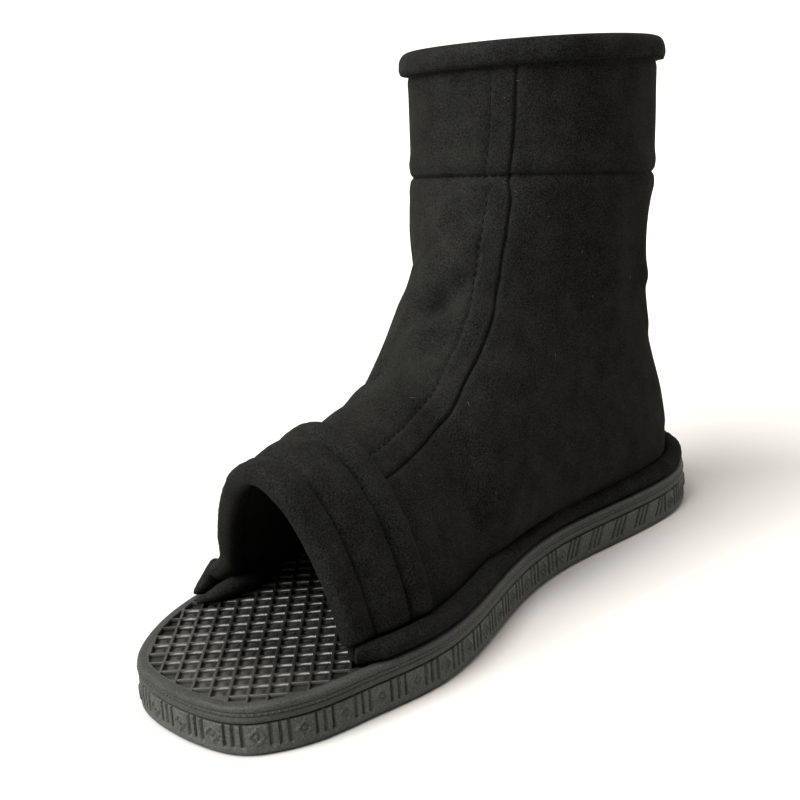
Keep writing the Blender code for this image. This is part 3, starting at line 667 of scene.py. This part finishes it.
def footShare(t, sign):  # share of the half section at which the band stops above the hem
    us = np.linspace(0.3, 1, 400) * sign
    z = upperRow(t, us)[:, 2]
    return float(np.interp(-band["footZ"], -z, np.abs(us)))


def makeBand():
    profile = np.vstack([openPath(bandOutside, band["outsidePoints"]), bandReturn])
    wave = np.linspace(-1, 1, band["columns"])
    rings = np.zeros((band["columns"], len(profile), 3))
    rounded = np.clip((1 - np.abs(wave)) / band["endRound"], 0, 1)
    rounded = np.sqrt(1 - (1 - rounded) ** 2)
    lowered = band["endHeight"] + (1 - band["endHeight"]) * rounded
    for k, (place, height) in enumerate(profile):
        t = max(place, 0) / band["length"]
        us = np.where(wave >= 0, wave * footShare(t, 1), wave * footShare(t, -1))
        points, normals = bandFrame(place, us)
        seen = k < band["outsidePoints"]
        proud = seen and height > band["clear"]
        high = band["clear"] + (height - band["clear"]) * lowered if proud else height
        rings[:, k] = points + np.reshape(high, (-1, 1)) * normals
        if proud or place < -0.5:
            flare = band["flare"] * ease(-0.8, -1.0, wave) ** 2 * ease(band["flareTo"], 2, place)
            rings[:, k, 0] -= flare
            rings[:, k, 1] -= 0.6 * flare
        if seen:
            rings[:, k] += swell(rings[:, k], band["lumps"])[:, None] * normals
    made = addSwept("toe_band_strips", rings, ["cloth"], "brushed_cloth", ["toe_band"])


makeBand()

# hem: a soft roll of cloth between upper and sole
hem = dict(height=5.2, innerTail=2.0, outerTail=15.0, clear=0.4, rimGap=0.35, lift=0.05, pivot=0.35,
           steps=700, points=26, spread=7.0, innerTaper=3.2, outerTaper=17.0, flapRise=0.8, endShare=0.7,
           lumps=((0.36, 6.0, 2.0), (0.3, 2.4, 9.0)))
hemProfile = (  # share of the way out, share of the height
    (0, 0.02), (0.6, 0.0), (0.93, 0.14), (1.02, 0.42), (0.94, 0.72), (0.68, 0.94), (0.32, 1.03), (0.02, 0.92),
)


# how far the wall stands out over its foot, below half and full hem height
def wallReach():
    reach = np.zeros((2, len(edge)))
    low = (facePoints[:, :, 2] < upper["featherZ"] + hem["height"]) & (np.abs(upperUs) > 0.5)[None]
    low &= (upperTs < slitStep)[:, None]
    points = facePoints[low]
    k, inside = nearestEdge(points[:, :2])
    level = (points[:, 2] - upper["featherZ"]) / hem["height"] > 0.5
    for index, depth, high in zip(k, inside, level):
        first = 1 if high else 0
        reach[first:, index] = np.maximum(reach[first:, index], upper["featherInset"] - depth)
    wide = round(hem["spread"] / edgeLength * len(edge))
    folded = np.stack([np.roll(reach, shift, axis=1) for shift in range(-wide, wide + 1, 4)])
    return folded.max(0)


def makeHem():
    innerEnd = featherSides[1][2] + hem["innerTail"]
    outerEnd = -featherSides[-1][2] - hem["outerTail"]
    distances = np.linspace(outerEnd, innerEnd, hem["steps"])
    foot = edgeAt(distances, upper["featherInset"])
    out = (edgeAt(distances, 0.0) - foot) / upper["featherInset"]
    low, high = wallReach()[:, np.round(distances / edgeLength * len(edge)).astype(int) % len(edge)]
    profile, _ = closedSpline(hemProfile, hem["points"])
    fromTip = distances - outerEnd
    toEnds = np.minimum(fromTip / hem["outerTaper"], (innerEnd - distances) / hem["innerTaper"])
    taper = np.sqrt(np.clip(1 - (1 - np.clip(toEnds, 0, 1)) ** 2, 0.03, 1))
    flap = ease(0, 12, fromTip) * ease(15.5, 12.5, fromTip)
    slant = hem["endShare"] * ease(10, 0, innerEnd - distances)
    rings = np.zeros((hem["steps"], hem["points"], 3))
    far = upper["featherInset"] - hem["rimGap"]
    for k, (share, height) in enumerate(profile):
        height = hem["pivot"] + (height - hem["pivot"]) * taper
        near = hem["clear"] + low + np.clip(height * 2 - 1, 0, 1) * (high - low)
        middleOut = (near + far) / 2
        raised = 1 + hem["flapRise"] * ease(0.45, 1.0, height) * flap
        reachOut = middleOut + (near + share * (far - near) * (1 - slant) - middleOut) * taper
        rings[:, k, :2] = foot + out * reachOut[:, None]
        rings[:, k, 2] = upper["featherZ"] + hem["lift"] + height * hem["height"] * raised
        outward = np.column_stack([out * np.clip(share, 0.2, 1), height])
        bulge = swell(rings[:, k], hem["lumps"]) * ease(0.25, 0.6, height) * np.clip(share * 2, 0, 1)
        rings[:, k] += outward * bulge[:, None]
    made = addSwept("hem_cloth_roll", rings, ["cloth"], "brushed_cloth", ["hem_roll"])


makeHem()

# the turned-in end of the cloth that lies inside the outer toe corner
cornerFold = dict(path=((-32.6, -54.0), (-32.0, -62.0), (-32.4, -70.0), (-34.4, -77.0), (-38.5, -82.5)),
                  half=(2.4, 3.4, 3.6, 2.9, 0.8), tall=0.85, lift=0.1, steps=44, points=18,
                  lumps=((0.25, 4.0, 8.0),))


def makeCornerFold():
    line = openPath(cornerFold["path"], cornerFold["steps"])
    share = np.linspace(0, 1, cornerFold["steps"])
    halfWide = smoothThrough(np.linspace(0, 1, len(cornerFold["half"])), cornerFold["half"], share)
    run = np.gradient(line, axis=0)
    sideways = unit(np.column_stack([-run[:, 1], run[:, 0]]))
    rings = np.zeros((cornerFold["steps"], cornerFold["points"], 3))
    for k, angle in enumerate(np.linspace(0, 2 * math.pi, cornerFold["points"], endpoint=False)):
        rings[:, k, :2] = line + sideways * (halfWide * math.cos(angle))[:, None]
        rise = halfWide * cornerFold["tall"] * (1 + math.sin(angle))
        rings[:, k, 2] = sole["bedTop"] + cornerFold["lift"] + rise
        rings[:, k, 2] += swell(rings[:, k], cornerFold["lumps"]) * max(math.sin(angle), 0)
    addSwept("toe_corner_fold", rings, ["cloth"], "brushed_cloth")


makeCornerFold()

# binding: the rolled edge over the collar, open at the back
binding = dict(backHalf=6.5, outsidePoints=40, steps=230, middle=1.3, seamDepth=0.9, seamWidth=0.7,
               lumps=((0.45, 9.0, 4.0), (0.3, 3.0, 6.0)))
bindingOutside = (  # distance out from the wall's face, height over its top edge
    (0.35, -5.0), (1.2, -5.7), (2.3, -5.2), (2.8, -3.6), (2.7, -1.6), (2.0, 0.4), (0.6, 1.8), (-1.3, 2.3),
    (-3.0, 1.9), (-4.3, 0.6), (-4.8, -1.4), (-4.3, -3.2), (-3.2, -3.5),
)
bindingReturn = ((-2.95, -2.0), (-2.95, 0.35), (0.35, 0.35), (0.35, -2.6))


def collarT(height):  # section place at a height over the collar's edge
    steps = np.linspace(cuffStep, collarStep, 60)
    heights = [sectionAt("crownZ", t) - sectionRows["collar"][1] for t in steps]
    return float(np.interp(height, heights, steps))


def makeBinding():
    profile = np.vstack([openPath(bindingOutside, binding["outsidePoints"]), bindingReturn])
    row = upperRow(collarStep, upperUs)
    fromBack = np.abs(row[:, 0] - sectionAt("lean", collarStep))
    keep = (np.abs(upperUs) < 0.5) | (fromBack > binding["backHalf"])
    arc = arcOf(row[keep])
    us = np.interp(np.linspace(0, arc[-1], binding["steps"]), arc, upperUs[keep])
    topZ = upperRow(collarStep, us)[:, 2]
    fromSeam = np.interp(us, upperUs, toFront[-1] * np.where(isInner, 1, 100))  # the inner seam alone
    groove = binding["seamDepth"] * hump(fromSeam, binding["seamWidth"])
    rings = np.zeros((len(us), len(profile), 3))
    for k, (out, height) in enumerate(profile):
        points, normals = upperFace([collarT(height)], us)
        rings[:, k] = points[0] + out * normals[0]
        rings[:, k, 2] = topZ + height
        if k < binding["outsidePoints"]:
            off = out + binding["middle"]
            bulge = (swell(rings[:, k], binding["lumps"]) - groove) * ease(0.2, 2.0, abs(off))
            rings[:, k] += bulge[:, None] * normals[0] * np.sign(off)
    made = addSwept("collar_roll", rings, ["cloth"], "brushed_cloth", ["collar_binding"])


makeBinding()

# outsole: rings round the edge, with groups of grooves and a small lozenge between them
outsole = dict(columns=2000, groupPitch=13.4, grooves=3, groovePitch=2.7, grooveStart=0.55, grooveHalf=0.5,
               grooveDepth=0.9, lozengeHalf=2.7, lozengeHeight=0.5, middleZ=5.9, slantFrom=72, slantTo=128,
               slant=0.55)
outsoleRings = (  # height, inset
    (0, 2.2), (0.2, 1.1), (0.7, 0.4), (1.4, 0.02), (2.2, 0), (2.7, 0), (3.0, 0), (3.4, 0), (3.9, 0), (4.4, 0),
    (4.9, 0), (5.4, 0), (5.9, 0), (6.4, 0), (6.9, 0), (7.4, 0), (7.9, 0), (8.4, 0), (8.8, 0), (9.05, 0.06),
    (9.25, 0.25), (9.4, 0.7),
)


def sideRelief(distance, z):
    pitch = edgeLength / round(edgeLength / outsole["groupPitch"])
    fromMiddle = z - outsole["middleZ"]
    onWaist = ease(outsole["slantFrom"] - 4, outsole["slantFrom"], distance)
    onWaist = onWaist * ease(outsole["slantTo"] + 4, outsole["slantTo"], distance)
    place = (distance + onWaist * outsole["slant"] * fromMiddle) % pitch
    relief = np.zeros_like(distance)
    wide = outsole["grooveHalf"]
    for k in range(outsole["grooves"]):
        away = np.abs(place - outsole["grooveStart"] - k * outsole["groovePitch"])
        relief -= outsole["grooveDepth"] * ease(wide + 0.2, wide - 0.25, away)
    relief *= ease(2.5, 3.1, z)
    last = outsole["grooveStart"] + (outsole["grooves"] - 1) * outsole["groovePitch"]
    panel = (last + pitch + outsole["grooveStart"]) / 2
    lozenge = (np.abs(place - panel) + abs(fromMiddle)) / outsole["lozengeHalf"]
    raised = ease(1.08, 0.9, lozenge) - ease(0.72, 0.56, lozenge) + ease(0.34, 0.2, lozenge)
    return relief + outsole["lozengeHeight"] * raised * (1 - onWaist)


def makeOutsole():
    distances = np.linspace(0, edgeLength, outsole["columns"], endpoint=False)
    rings = np.zeros((len(outsoleRings), outsole["columns"], 3))
    for k, (z, inset) in enumerate(outsoleRings):
        rings[k, :, :2] = edgeAt(distances, inset - sideRelief(distances, z))
        rings[k, :, 2] = z
    addSwept("sole_lower_layer", rings, ["foam"], "sole_foam", ["outsole"], sharpDeg=50)


makeOutsole()

# footbed: a raised net with a low dome in each cell, a smooth border, the rim and the side
bed = dict(pitches=(5.49, 6.69), turnDeg=34.6, border=2.9, boundaryStep=1.2, netShare=1.15,
           reachX=60, spareY=8, mergeBelow=0.4, wholeShare=0.999, cutShare=0.35, cutSteps=4)
bedRings = (  # inset, height
    (2.2, 14.8), (1.2, 14.74), (0.55, 14.5), (0.15, 14.05), (0, 13.4), (0, 13.05), (0.22, 12.85), (0, 12.65),
    (0, 11.9), (0.22, 11.7), (0, 11.5), (0, 10.5), (0.04, 10.05), (0.22, 9.85), (0.7, 9.7),
)
cellInsets = (  # inwards, up, and which finish the new faces' inner part takes; finish 2 is the cell floor, darkened as painted shade
    (0.27, 0.0, 1), (0.15, -0.12, 1), (0.14, -0.7, 2), (0.2, -0.5, 2), (0.55, 0.0, 2), (0.4, 0.45, 1),
    (0.5, 0.22, 1),
)


def flatPlaces(verts):
    return np.array([vert.co[:2] for vert in verts])


def cutNet(bm):  # the lattice of the net, cut along the border
    wide, tall = (math.ceil(sole["length"] * bed["netShare"] / pitch) for pitch in bed["pitches"])
    bmesh.ops.create_grid(bm, x_segments=wide, y_segments=tall, size=0.5)
    bmesh.ops.scale(bm, verts=bm.verts, vec=(wide * bed["pitches"][0], tall * bed["pitches"][1], 1))
    turn = Matrix.Rotation(math.radians(bed["turnDeg"]), 3, "Z")
    bmesh.ops.rotate(bm, verts=bm.verts, cent=(0, 0, 0), matrix=turn)
    flat = np.abs(flatPlaces(bm.verts))
    near = (flat[:, 0] < bed["reachX"]) & (flat[:, 1] < half + bed["spareY"])
    bmesh.ops.delete(bm, geom=[vert for vert, keep in zip(bm.verts, near) if not keep], context="VERTS")
    verts = list(bm.verts)
    _, depth = nearestEdge(flatPlaces(verts))
    side = dict(zip(verts, depth - bed["border"]))
    cuts = set()
    for line in list(bm.edges):  # the border cuts each lattice line that crosses it
        first, second = line.verts
        if side[first] * side[second] < 0:
            _, new = bmesh.utils.edge_split(line, first, side[first] / (side[first] - side[second]))
            side[new] = 0.0
            cuts.add(new)
    for face in list(bm.faces):
        marks = [vert for vert in face.verts if vert in cuts]
        if len(marks) == 2:
            bmesh.utils.face_split(face, marks[0], marks[1])
    outside = [face for face in bm.faces if min(side[vert] for vert in face.verts) < -1e-6]
    bmesh.ops.delete(bm, geom=outside, context="FACES")
    bmesh.ops.delete(bm, geom=[vert for vert in bm.verts if not vert.link_faces], context="VERTS")
    bmesh.ops.remove_doubles(bm, verts=bm.verts, dist=bed["mergeBelow"])
    for vert in bm.verts:
        vert.co.z = sole["bedTop"]


def makeFootbed():
    bm = newMesh()
    cutNet(bm)
    cells = list(bm.faces)
    for line in openEdges(bm):  # more corners, so that the border follows the sole's edge closely
        for k in range(int(line.calc_length() / bed["boundaryStep"]), 0, -1):
            line, _ = bmesh.utils.edge_split(line, line.verts[0], k / (k + 1))
    wholeArea, cutArea = (bed[share] * math.prod(bed["pitches"]) for share in ("wholeShare", "cutShare"))
    whole = [cell for cell in cells if len(cell.verts) == 4 and cell.calc_area() > wholeArea]
    cut = [cell for cell in cells if cell not in whole and cell.calc_area() > cutArea]
    ring = openEdges(bm)
    for inset, z in bedRings:
        ring, corners = extruded(bm, ring)
        index, _ = nearestEdge(flatPlaces(corners))
        for vert, place in zip(corners, edge[index] - inset * edgeOut[index]):
            vert.co = (*place, z)
    bmesh.ops.holes_fill(bm, edges=openEdges(bm))
    for cell in cells:
        cell.material_index = 1
    for step, (thickness, rise, finish) in enumerate(cellInsets):
        dented = [(whole, True), (cut, False)] if step < bed["cutSteps"] else [(whole, True)]
        for faces, even in dented:
            bmesh.ops.inset_individual(bm, faces=faces, thickness=thickness, depth=rise, use_even_offset=even)
            for cell in faces:
                cell.material_index = finish
    bmesh.ops.scale(bm, verts=bm.verts, vec=(mm, mm, mm))
    addPiece("footbed_layer", bm, ["bed", "net", "shadedCells"], "footbed_foam", ["footbed"], sharpDeg=60)


makeFootbed()

# zip: woven tapes with a closed coil between them
zipper = dict(top=161.6, bottom=59.5, steps=60, coilFoot=68.0, toothPitch=1.25, fullWidthZ=72.0, endShare=0.1,
              toothHalf=(1.15, 0.62, 0.52), toothOff=0.72, toothSink=0.12, toothTilt=0.25)
tapeProfile = (  # sideways, out from the line of the back
    (-4.2, -2.0), (4.2, -2.0), (4.4, -1.35), (3.4, -0.7), (1.4, -0.62), (-1.4, -0.62), (-3.4, -0.7),
    (-4.4, -1.35),
)


def zipLean(z):
    steps = range(heelStep, collarStep + 1)
    return np.interp(z, [sectionAt("backZ", t) for t in steps], [sectionAt("lean", t) for t in steps])


def makeZip():
    heights = np.linspace(zipper["bottom"], zipper["top"], zipper["steps"])
    shares = np.interp(heights, (zipper["bottom"], zipper["fullWidthZ"]), (zipper["endShare"], 1))
    rings = np.array([[(zipLean(z) + share * x, backY(z) + out, z) for x, out in tapeProfile]
                      for z, share in zip(heights, shares)])
    bm = newMesh()
    sweep(bm, rings)
    tapeFaces = len(bm.faces)
    size = Matrix.Diagonal((*(part * mm for part in zipper["toothHalf"]), 1))
    for z in np.arange(zipper["coilFoot"], zipper["top"] - 1, zipper["toothPitch"]):
        for sign in (1, -1):
            centre = Vector((zipLean(z) + sign * zipper["toothOff"], backY(z) - zipper["toothSink"],
                             z + sign * zipper["toothPitch"] / 4))
            turn = Matrix.Rotation(sign * zipper["toothTilt"], 4, "Y")
            place = Matrix.Translation(centre * mm) @ turn @ size
            bmesh.ops.create_uvsphere(bm, u_segments=8, v_segments=6, radius=1, matrix=place)
    bm.faces.ensure_lookup_table()
    for face in bm.faces[tapeFaces:]:
        face.material_index = 1
    addPiece("zip_closed_coil", bm, ["tape", "coil"], "zip_tape", ["zip_tape"], sharpDeg=50)


makeZip()

# the hard pieces keep their solids, with softened edges
metalEdges = dict(weld=0.00001, bevel=0.0002, segments=2)
for name in ("zip_slider", "zip_pull_tab"):
    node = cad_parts[name]
    node.data.materials.clear()
    node.data.materials.append(finishes["metal"])
    weld = node.modifiers.new("weld", "WELD")
    weld.merge_threshold = metalEdges["weld"]
    soft = node.modifiers.new("soft edges", "BEVEL")
    soft.width = metalEdges["bevel"]
    soft.segments = metalEdges["segments"]
    soft.limit_method = "ANGLE"


# stitches: short threads laid along the seams
def addStitches(bm, points, normals, pitch=stitch["pitch"], length=stitch["length"], radius=stitch["radius"]):
    run = arcOf(points)
    size = Matrix.Diagonal((length / 2 * mm, radius * mm, radius * mm, 1))
    for place in np.arange(pitch / 2, run[-1], pitch):
        first, last = alongRun([place - length / 2, place + length / 2], run, points)
        up = alongRun(place, run, normals)
        forward = Vector(last - first).normalized()
        side = Vector(up).cross(forward).normalized()
        turn = Matrix((forward, side, forward.cross(side))).transposed().to_4x4()
        centre = (first + last) / 2 - stitch["sink"] * up
        laid = Matrix.Translation(Vector(centre) * mm) @ turn @ size
        bmesh.ops.create_uvsphere(bm, u_segments=7, v_segments=6, radius=1, matrix=laid)


# one point a row where values pass the target, between the picked columns
def lineOnRow(values, target, pick):
    points, normals = [], []
    columns = np.arange(len(upperUs))
    for i in range(len(upperTs)):
        order = np.argsort(values[i, pick])
        at = np.interp(target, values[i, pick][order], np.flatnonzero(pick)[order])
        points.append(alongRun(at, columns, outerFace[i]))
        normals.append(alongRun(at, columns, faceNormals[i]))
    return np.array(points), np.array(normals)


rollStitch = dict(height=-4.9, out=2.3, steps=240, ends=(0.03, 0.97))  # the row through the collar's binding


def makeStitches():
    bm = newMesh()
    underBinding = toCollar[:, columnAt(0)] > seams["bindingAt"] + 1
    behindBand = (upperTs > sectionStep["bandRear"] + 0.04) & underBinding
    onSlit = (upperTs > slitStep + upper["slitRamp"]) & underBinding
    for values, target, pick, shown in (
        (toFront, seams["stitchAt"], isInner & (upperUs < 0.3), behindBand),
        (toFront, seams["stitchAt"], ~isInner & (upperUs > -0.5), behindBand),
        (toEnd, seams["slitStitchAt"], isInner & (upperUs > 0.6), onSlit),
        (toEnd, seams["slitStitchAt"], ~isInner & (upperUs < -0.6), onSlit),
    ):
        points, normals = lineOnRow(values, target, pick)
        addStitches(bm, points[shown], normals[shown])
    cuffRow = rowAt(cuffStep)
    addStitches(bm, outerFace[cuffRow], faceNormals[cuffRow])
    shares = np.linspace(*rollStitch["ends"], rollStitch["steps"])
    us = np.interp(shares, np.linspace(0, 1, len(upperUs)), upperUs)
    points, normals = (found[0] for found in upperFace([collarT(rollStitch["height"])], us))
    keep = np.abs(points[:, 0] - sectionAt("lean", collarStep)) > binding["backHalf"] + 1
    keep |= np.abs(us) < 0.5
    addStitches(bm, (points + rollStitch["out"] * normals)[keep], normals[keep])
    addPiece("seam_stitches", bm, ["thread"], "brushed_cloth")


makeStitches()

# a row of moulded beads round the footbed's side, like a mock seam
beads = dict(z=12.28, pitch=1.9, length=1.3, radius=0.36, steps=1400)


def makeBeads():
    bm = newMesh()
    distances = np.linspace(0, edgeLength, beads["steps"])
    ring = edgeAt(distances, 0.0)
    out = ring - edgeAt(distances, 1.0)
    points = np.column_stack([ring, np.full(len(ring), beads["z"])])
    normals = np.column_stack([out, np.zeros(len(out))])
    addStitches(bm, points, normals, beads["pitch"], beads["length"], beads["radius"])
    addPiece("footbed_side_beads", bm, ["bed"], "footbed_foam")


makeBeads()

# lint on the cloth
lint = dict(count=22, length=(0.6, 1.6), radius=0.06, rows=(1.3, 10.6), margin=20, lift=0.25, lie=0.8)


def makeLint():
    bm = newMesh()
    thick = lint["radius"] * mm
    for _ in range(lint["count"]):
        i = rng.integers(*(rowAt(t) for t in lint["rows"]))
        j = rng.integers(lint["margin"], len(upperUs) - lint["margin"])
        normal = faceNormals[i, j]
        slope = rng.normal(size=3)
        slope -= normal * (slope @ normal) * lint["lie"]
        length = rng.uniform(*lint["length"])
        turn = Vector(slope).to_track_quat("Z", "Y").to_matrix().to_4x4()
        place = Matrix.Translation(Vector(outerFace[i, j] + lint["lift"] * normal) * mm) @ turn
        bmesh.ops.create_cone(bm, segments=5, radius1=thick, radius2=0.5 * thick, depth=length * mm,
                              cap_ends=True, matrix=place)
    addPiece("cloth_lint", bm, ["lint"], "brushed_cloth")


makeLint()

# stage: a pale floor that rises all round, soft lights and the camera
stage = dict(radius=10.0, bend=6.0, bendDeg=60, steps=10, segments=96, turnDeg=36.8,
             near=(0.58, 0.575, 0.555, 1), far=(0.84, 0.835, 0.82, 1), patchSize=180.0)


def makeFloor():
    made, tree = newFinish("pale floor", 0.1, Roughness=0.9)
    place = objectPlace(tree)
    away = addNode(tree, "ShaderNodeVectorMath", {0: place}, operation="LENGTH").outputs["Value"]
    patches = maths(tree, "MULTIPLY", noiseOf(tree, place, stage["patchSize"]), 0.1)
    # painted shade and light: the floor is darker round the boot and paler far off, standing in for falling
    # light
    tone = maths(tree, "ADD", remap(tree, away, 0.35, 1.2), patches)
    feed(tree, mixed(tree, tone, stage["near"], stage["far"]))
    bm = bmesh.new()
    bmesh.ops.create_circle(bm, cap_ends=True, segments=stage["segments"], radius=stage["radius"])
    rim = openEdges(bm)
    for step in range(1, stage["steps"] + 1):
        rim, corners = extruded(bm, rim)
        angle = math.radians(stage["bendDeg"]) * step / stage["steps"]
        for vert in corners:
            out = Vector(vert.co[:2]).normalized() * (stage["radius"] + stage["bend"] * math.sin(angle))
            vert.co = (*out, stage["bend"] * (1 - math.cos(angle)))
    bmesh.ops.recalc_face_normals(bm, faces=bm.faces)
    if sum(face.normal.z for face in bm.faces) < 0:
        bmesh.ops.reverse_faces(bm, faces=bm.faces)
    mesh = toMesh("pale_floor", bm)
    mesh.materials.append(made)
    floor = addObject("pale_floor", mesh)


lights = (  # soft panels, in metres and watts
    dict(name="overhead", place=(-0.15, 0.15, 1.5), aim=(0, 0, 0.05), size=1.2, watts=12,
         tint=(1.0, 0.985, 0.96)),
    dict(name="right back", place=(0.5, 1.3, 0.5), aim=(0, 0.05, 0.1), size=0.4, watts=3.0,
         tint=(1.0, 0.97, 0.93)),
)
daylight = dict(fromLeft=0.8, fromFront=0.55, strength=4.6, softDeg=50)
sky = dict(Color=(1.0, 0.95, 0.85, 1), Strength=0.24)
camera = dict(place=(317.7, -443.9, 206.2), aim=(0.0, -19.6, 68.8), rollDeg=4.43, lens=76.55, sensor=36.0)
upwards = Vector((0, 0, 1))


def makeLights():
    for light in lights:
        lamp = bpy.data.lights.new(light["name"], "AREA")
        lamp.energy, lamp.size, lamp.color = light["watts"], light["size"], light["tint"]
        holder = addObject(light["name"], lamp)
        holder.location = light["place"]
        fall = Vector(light["aim"]) - Vector(light["place"])
        holder.rotation_euler = fall.to_track_quat("-Z", "Y").to_euler()
    sun = bpy.data.lights.new("daylight", "SUN")
    sun.energy, sun.angle = daylight["strength"], math.radians(daylight["softDeg"])
    view = math.radians(stage["turnDeg"])
    left = Vector((-math.cos(view), -math.sin(view), 0))
    front = Vector((math.sin(view), -math.cos(view), 0))
    fall = -(left * daylight["fromLeft"] + front * daylight["fromFront"] + upwards)
    addObject("daylight", sun).rotation_euler = fall.to_track_quat("-Z", "Y").to_euler()
    world = bpy.data.worlds.new("studio")
    world.use_nodes = True
    for socket, value in sky.items():
        world.node_tree.nodes["Background"].inputs[socket].default_value = value
    bpy.context.scene.world = world


def makeCamera():
    place = Vector(camera["place"])
    look = (Vector(camera["aim"]) - place).normalized()
    level = look.cross(upwards).normalized()
    turn = math.radians(camera["rollDeg"])
    right = math.cos(turn) * level - math.sin(turn) * level.cross(look)
    up = right.cross(look)
    lens = bpy.data.cameras.new("photo view")
    lens.lens, lens.sensor_width = camera["lens"], camera["sensor"]
    viewer = addObject("photo view", lens)
    viewer.matrix_world = Matrix.Translation(place * mm) @ Matrix((right, up, -look)).transposed().to_4x4()
    bpy.context.scene.camera = viewer


makeFloor()
makeLights()
makeCamera()
bpy.context.scene.view_settings.view_transform = "Standard"
bpy.context.scene.view_settings.look = "Medium High Contrast"
print("stage, lights and camera set")
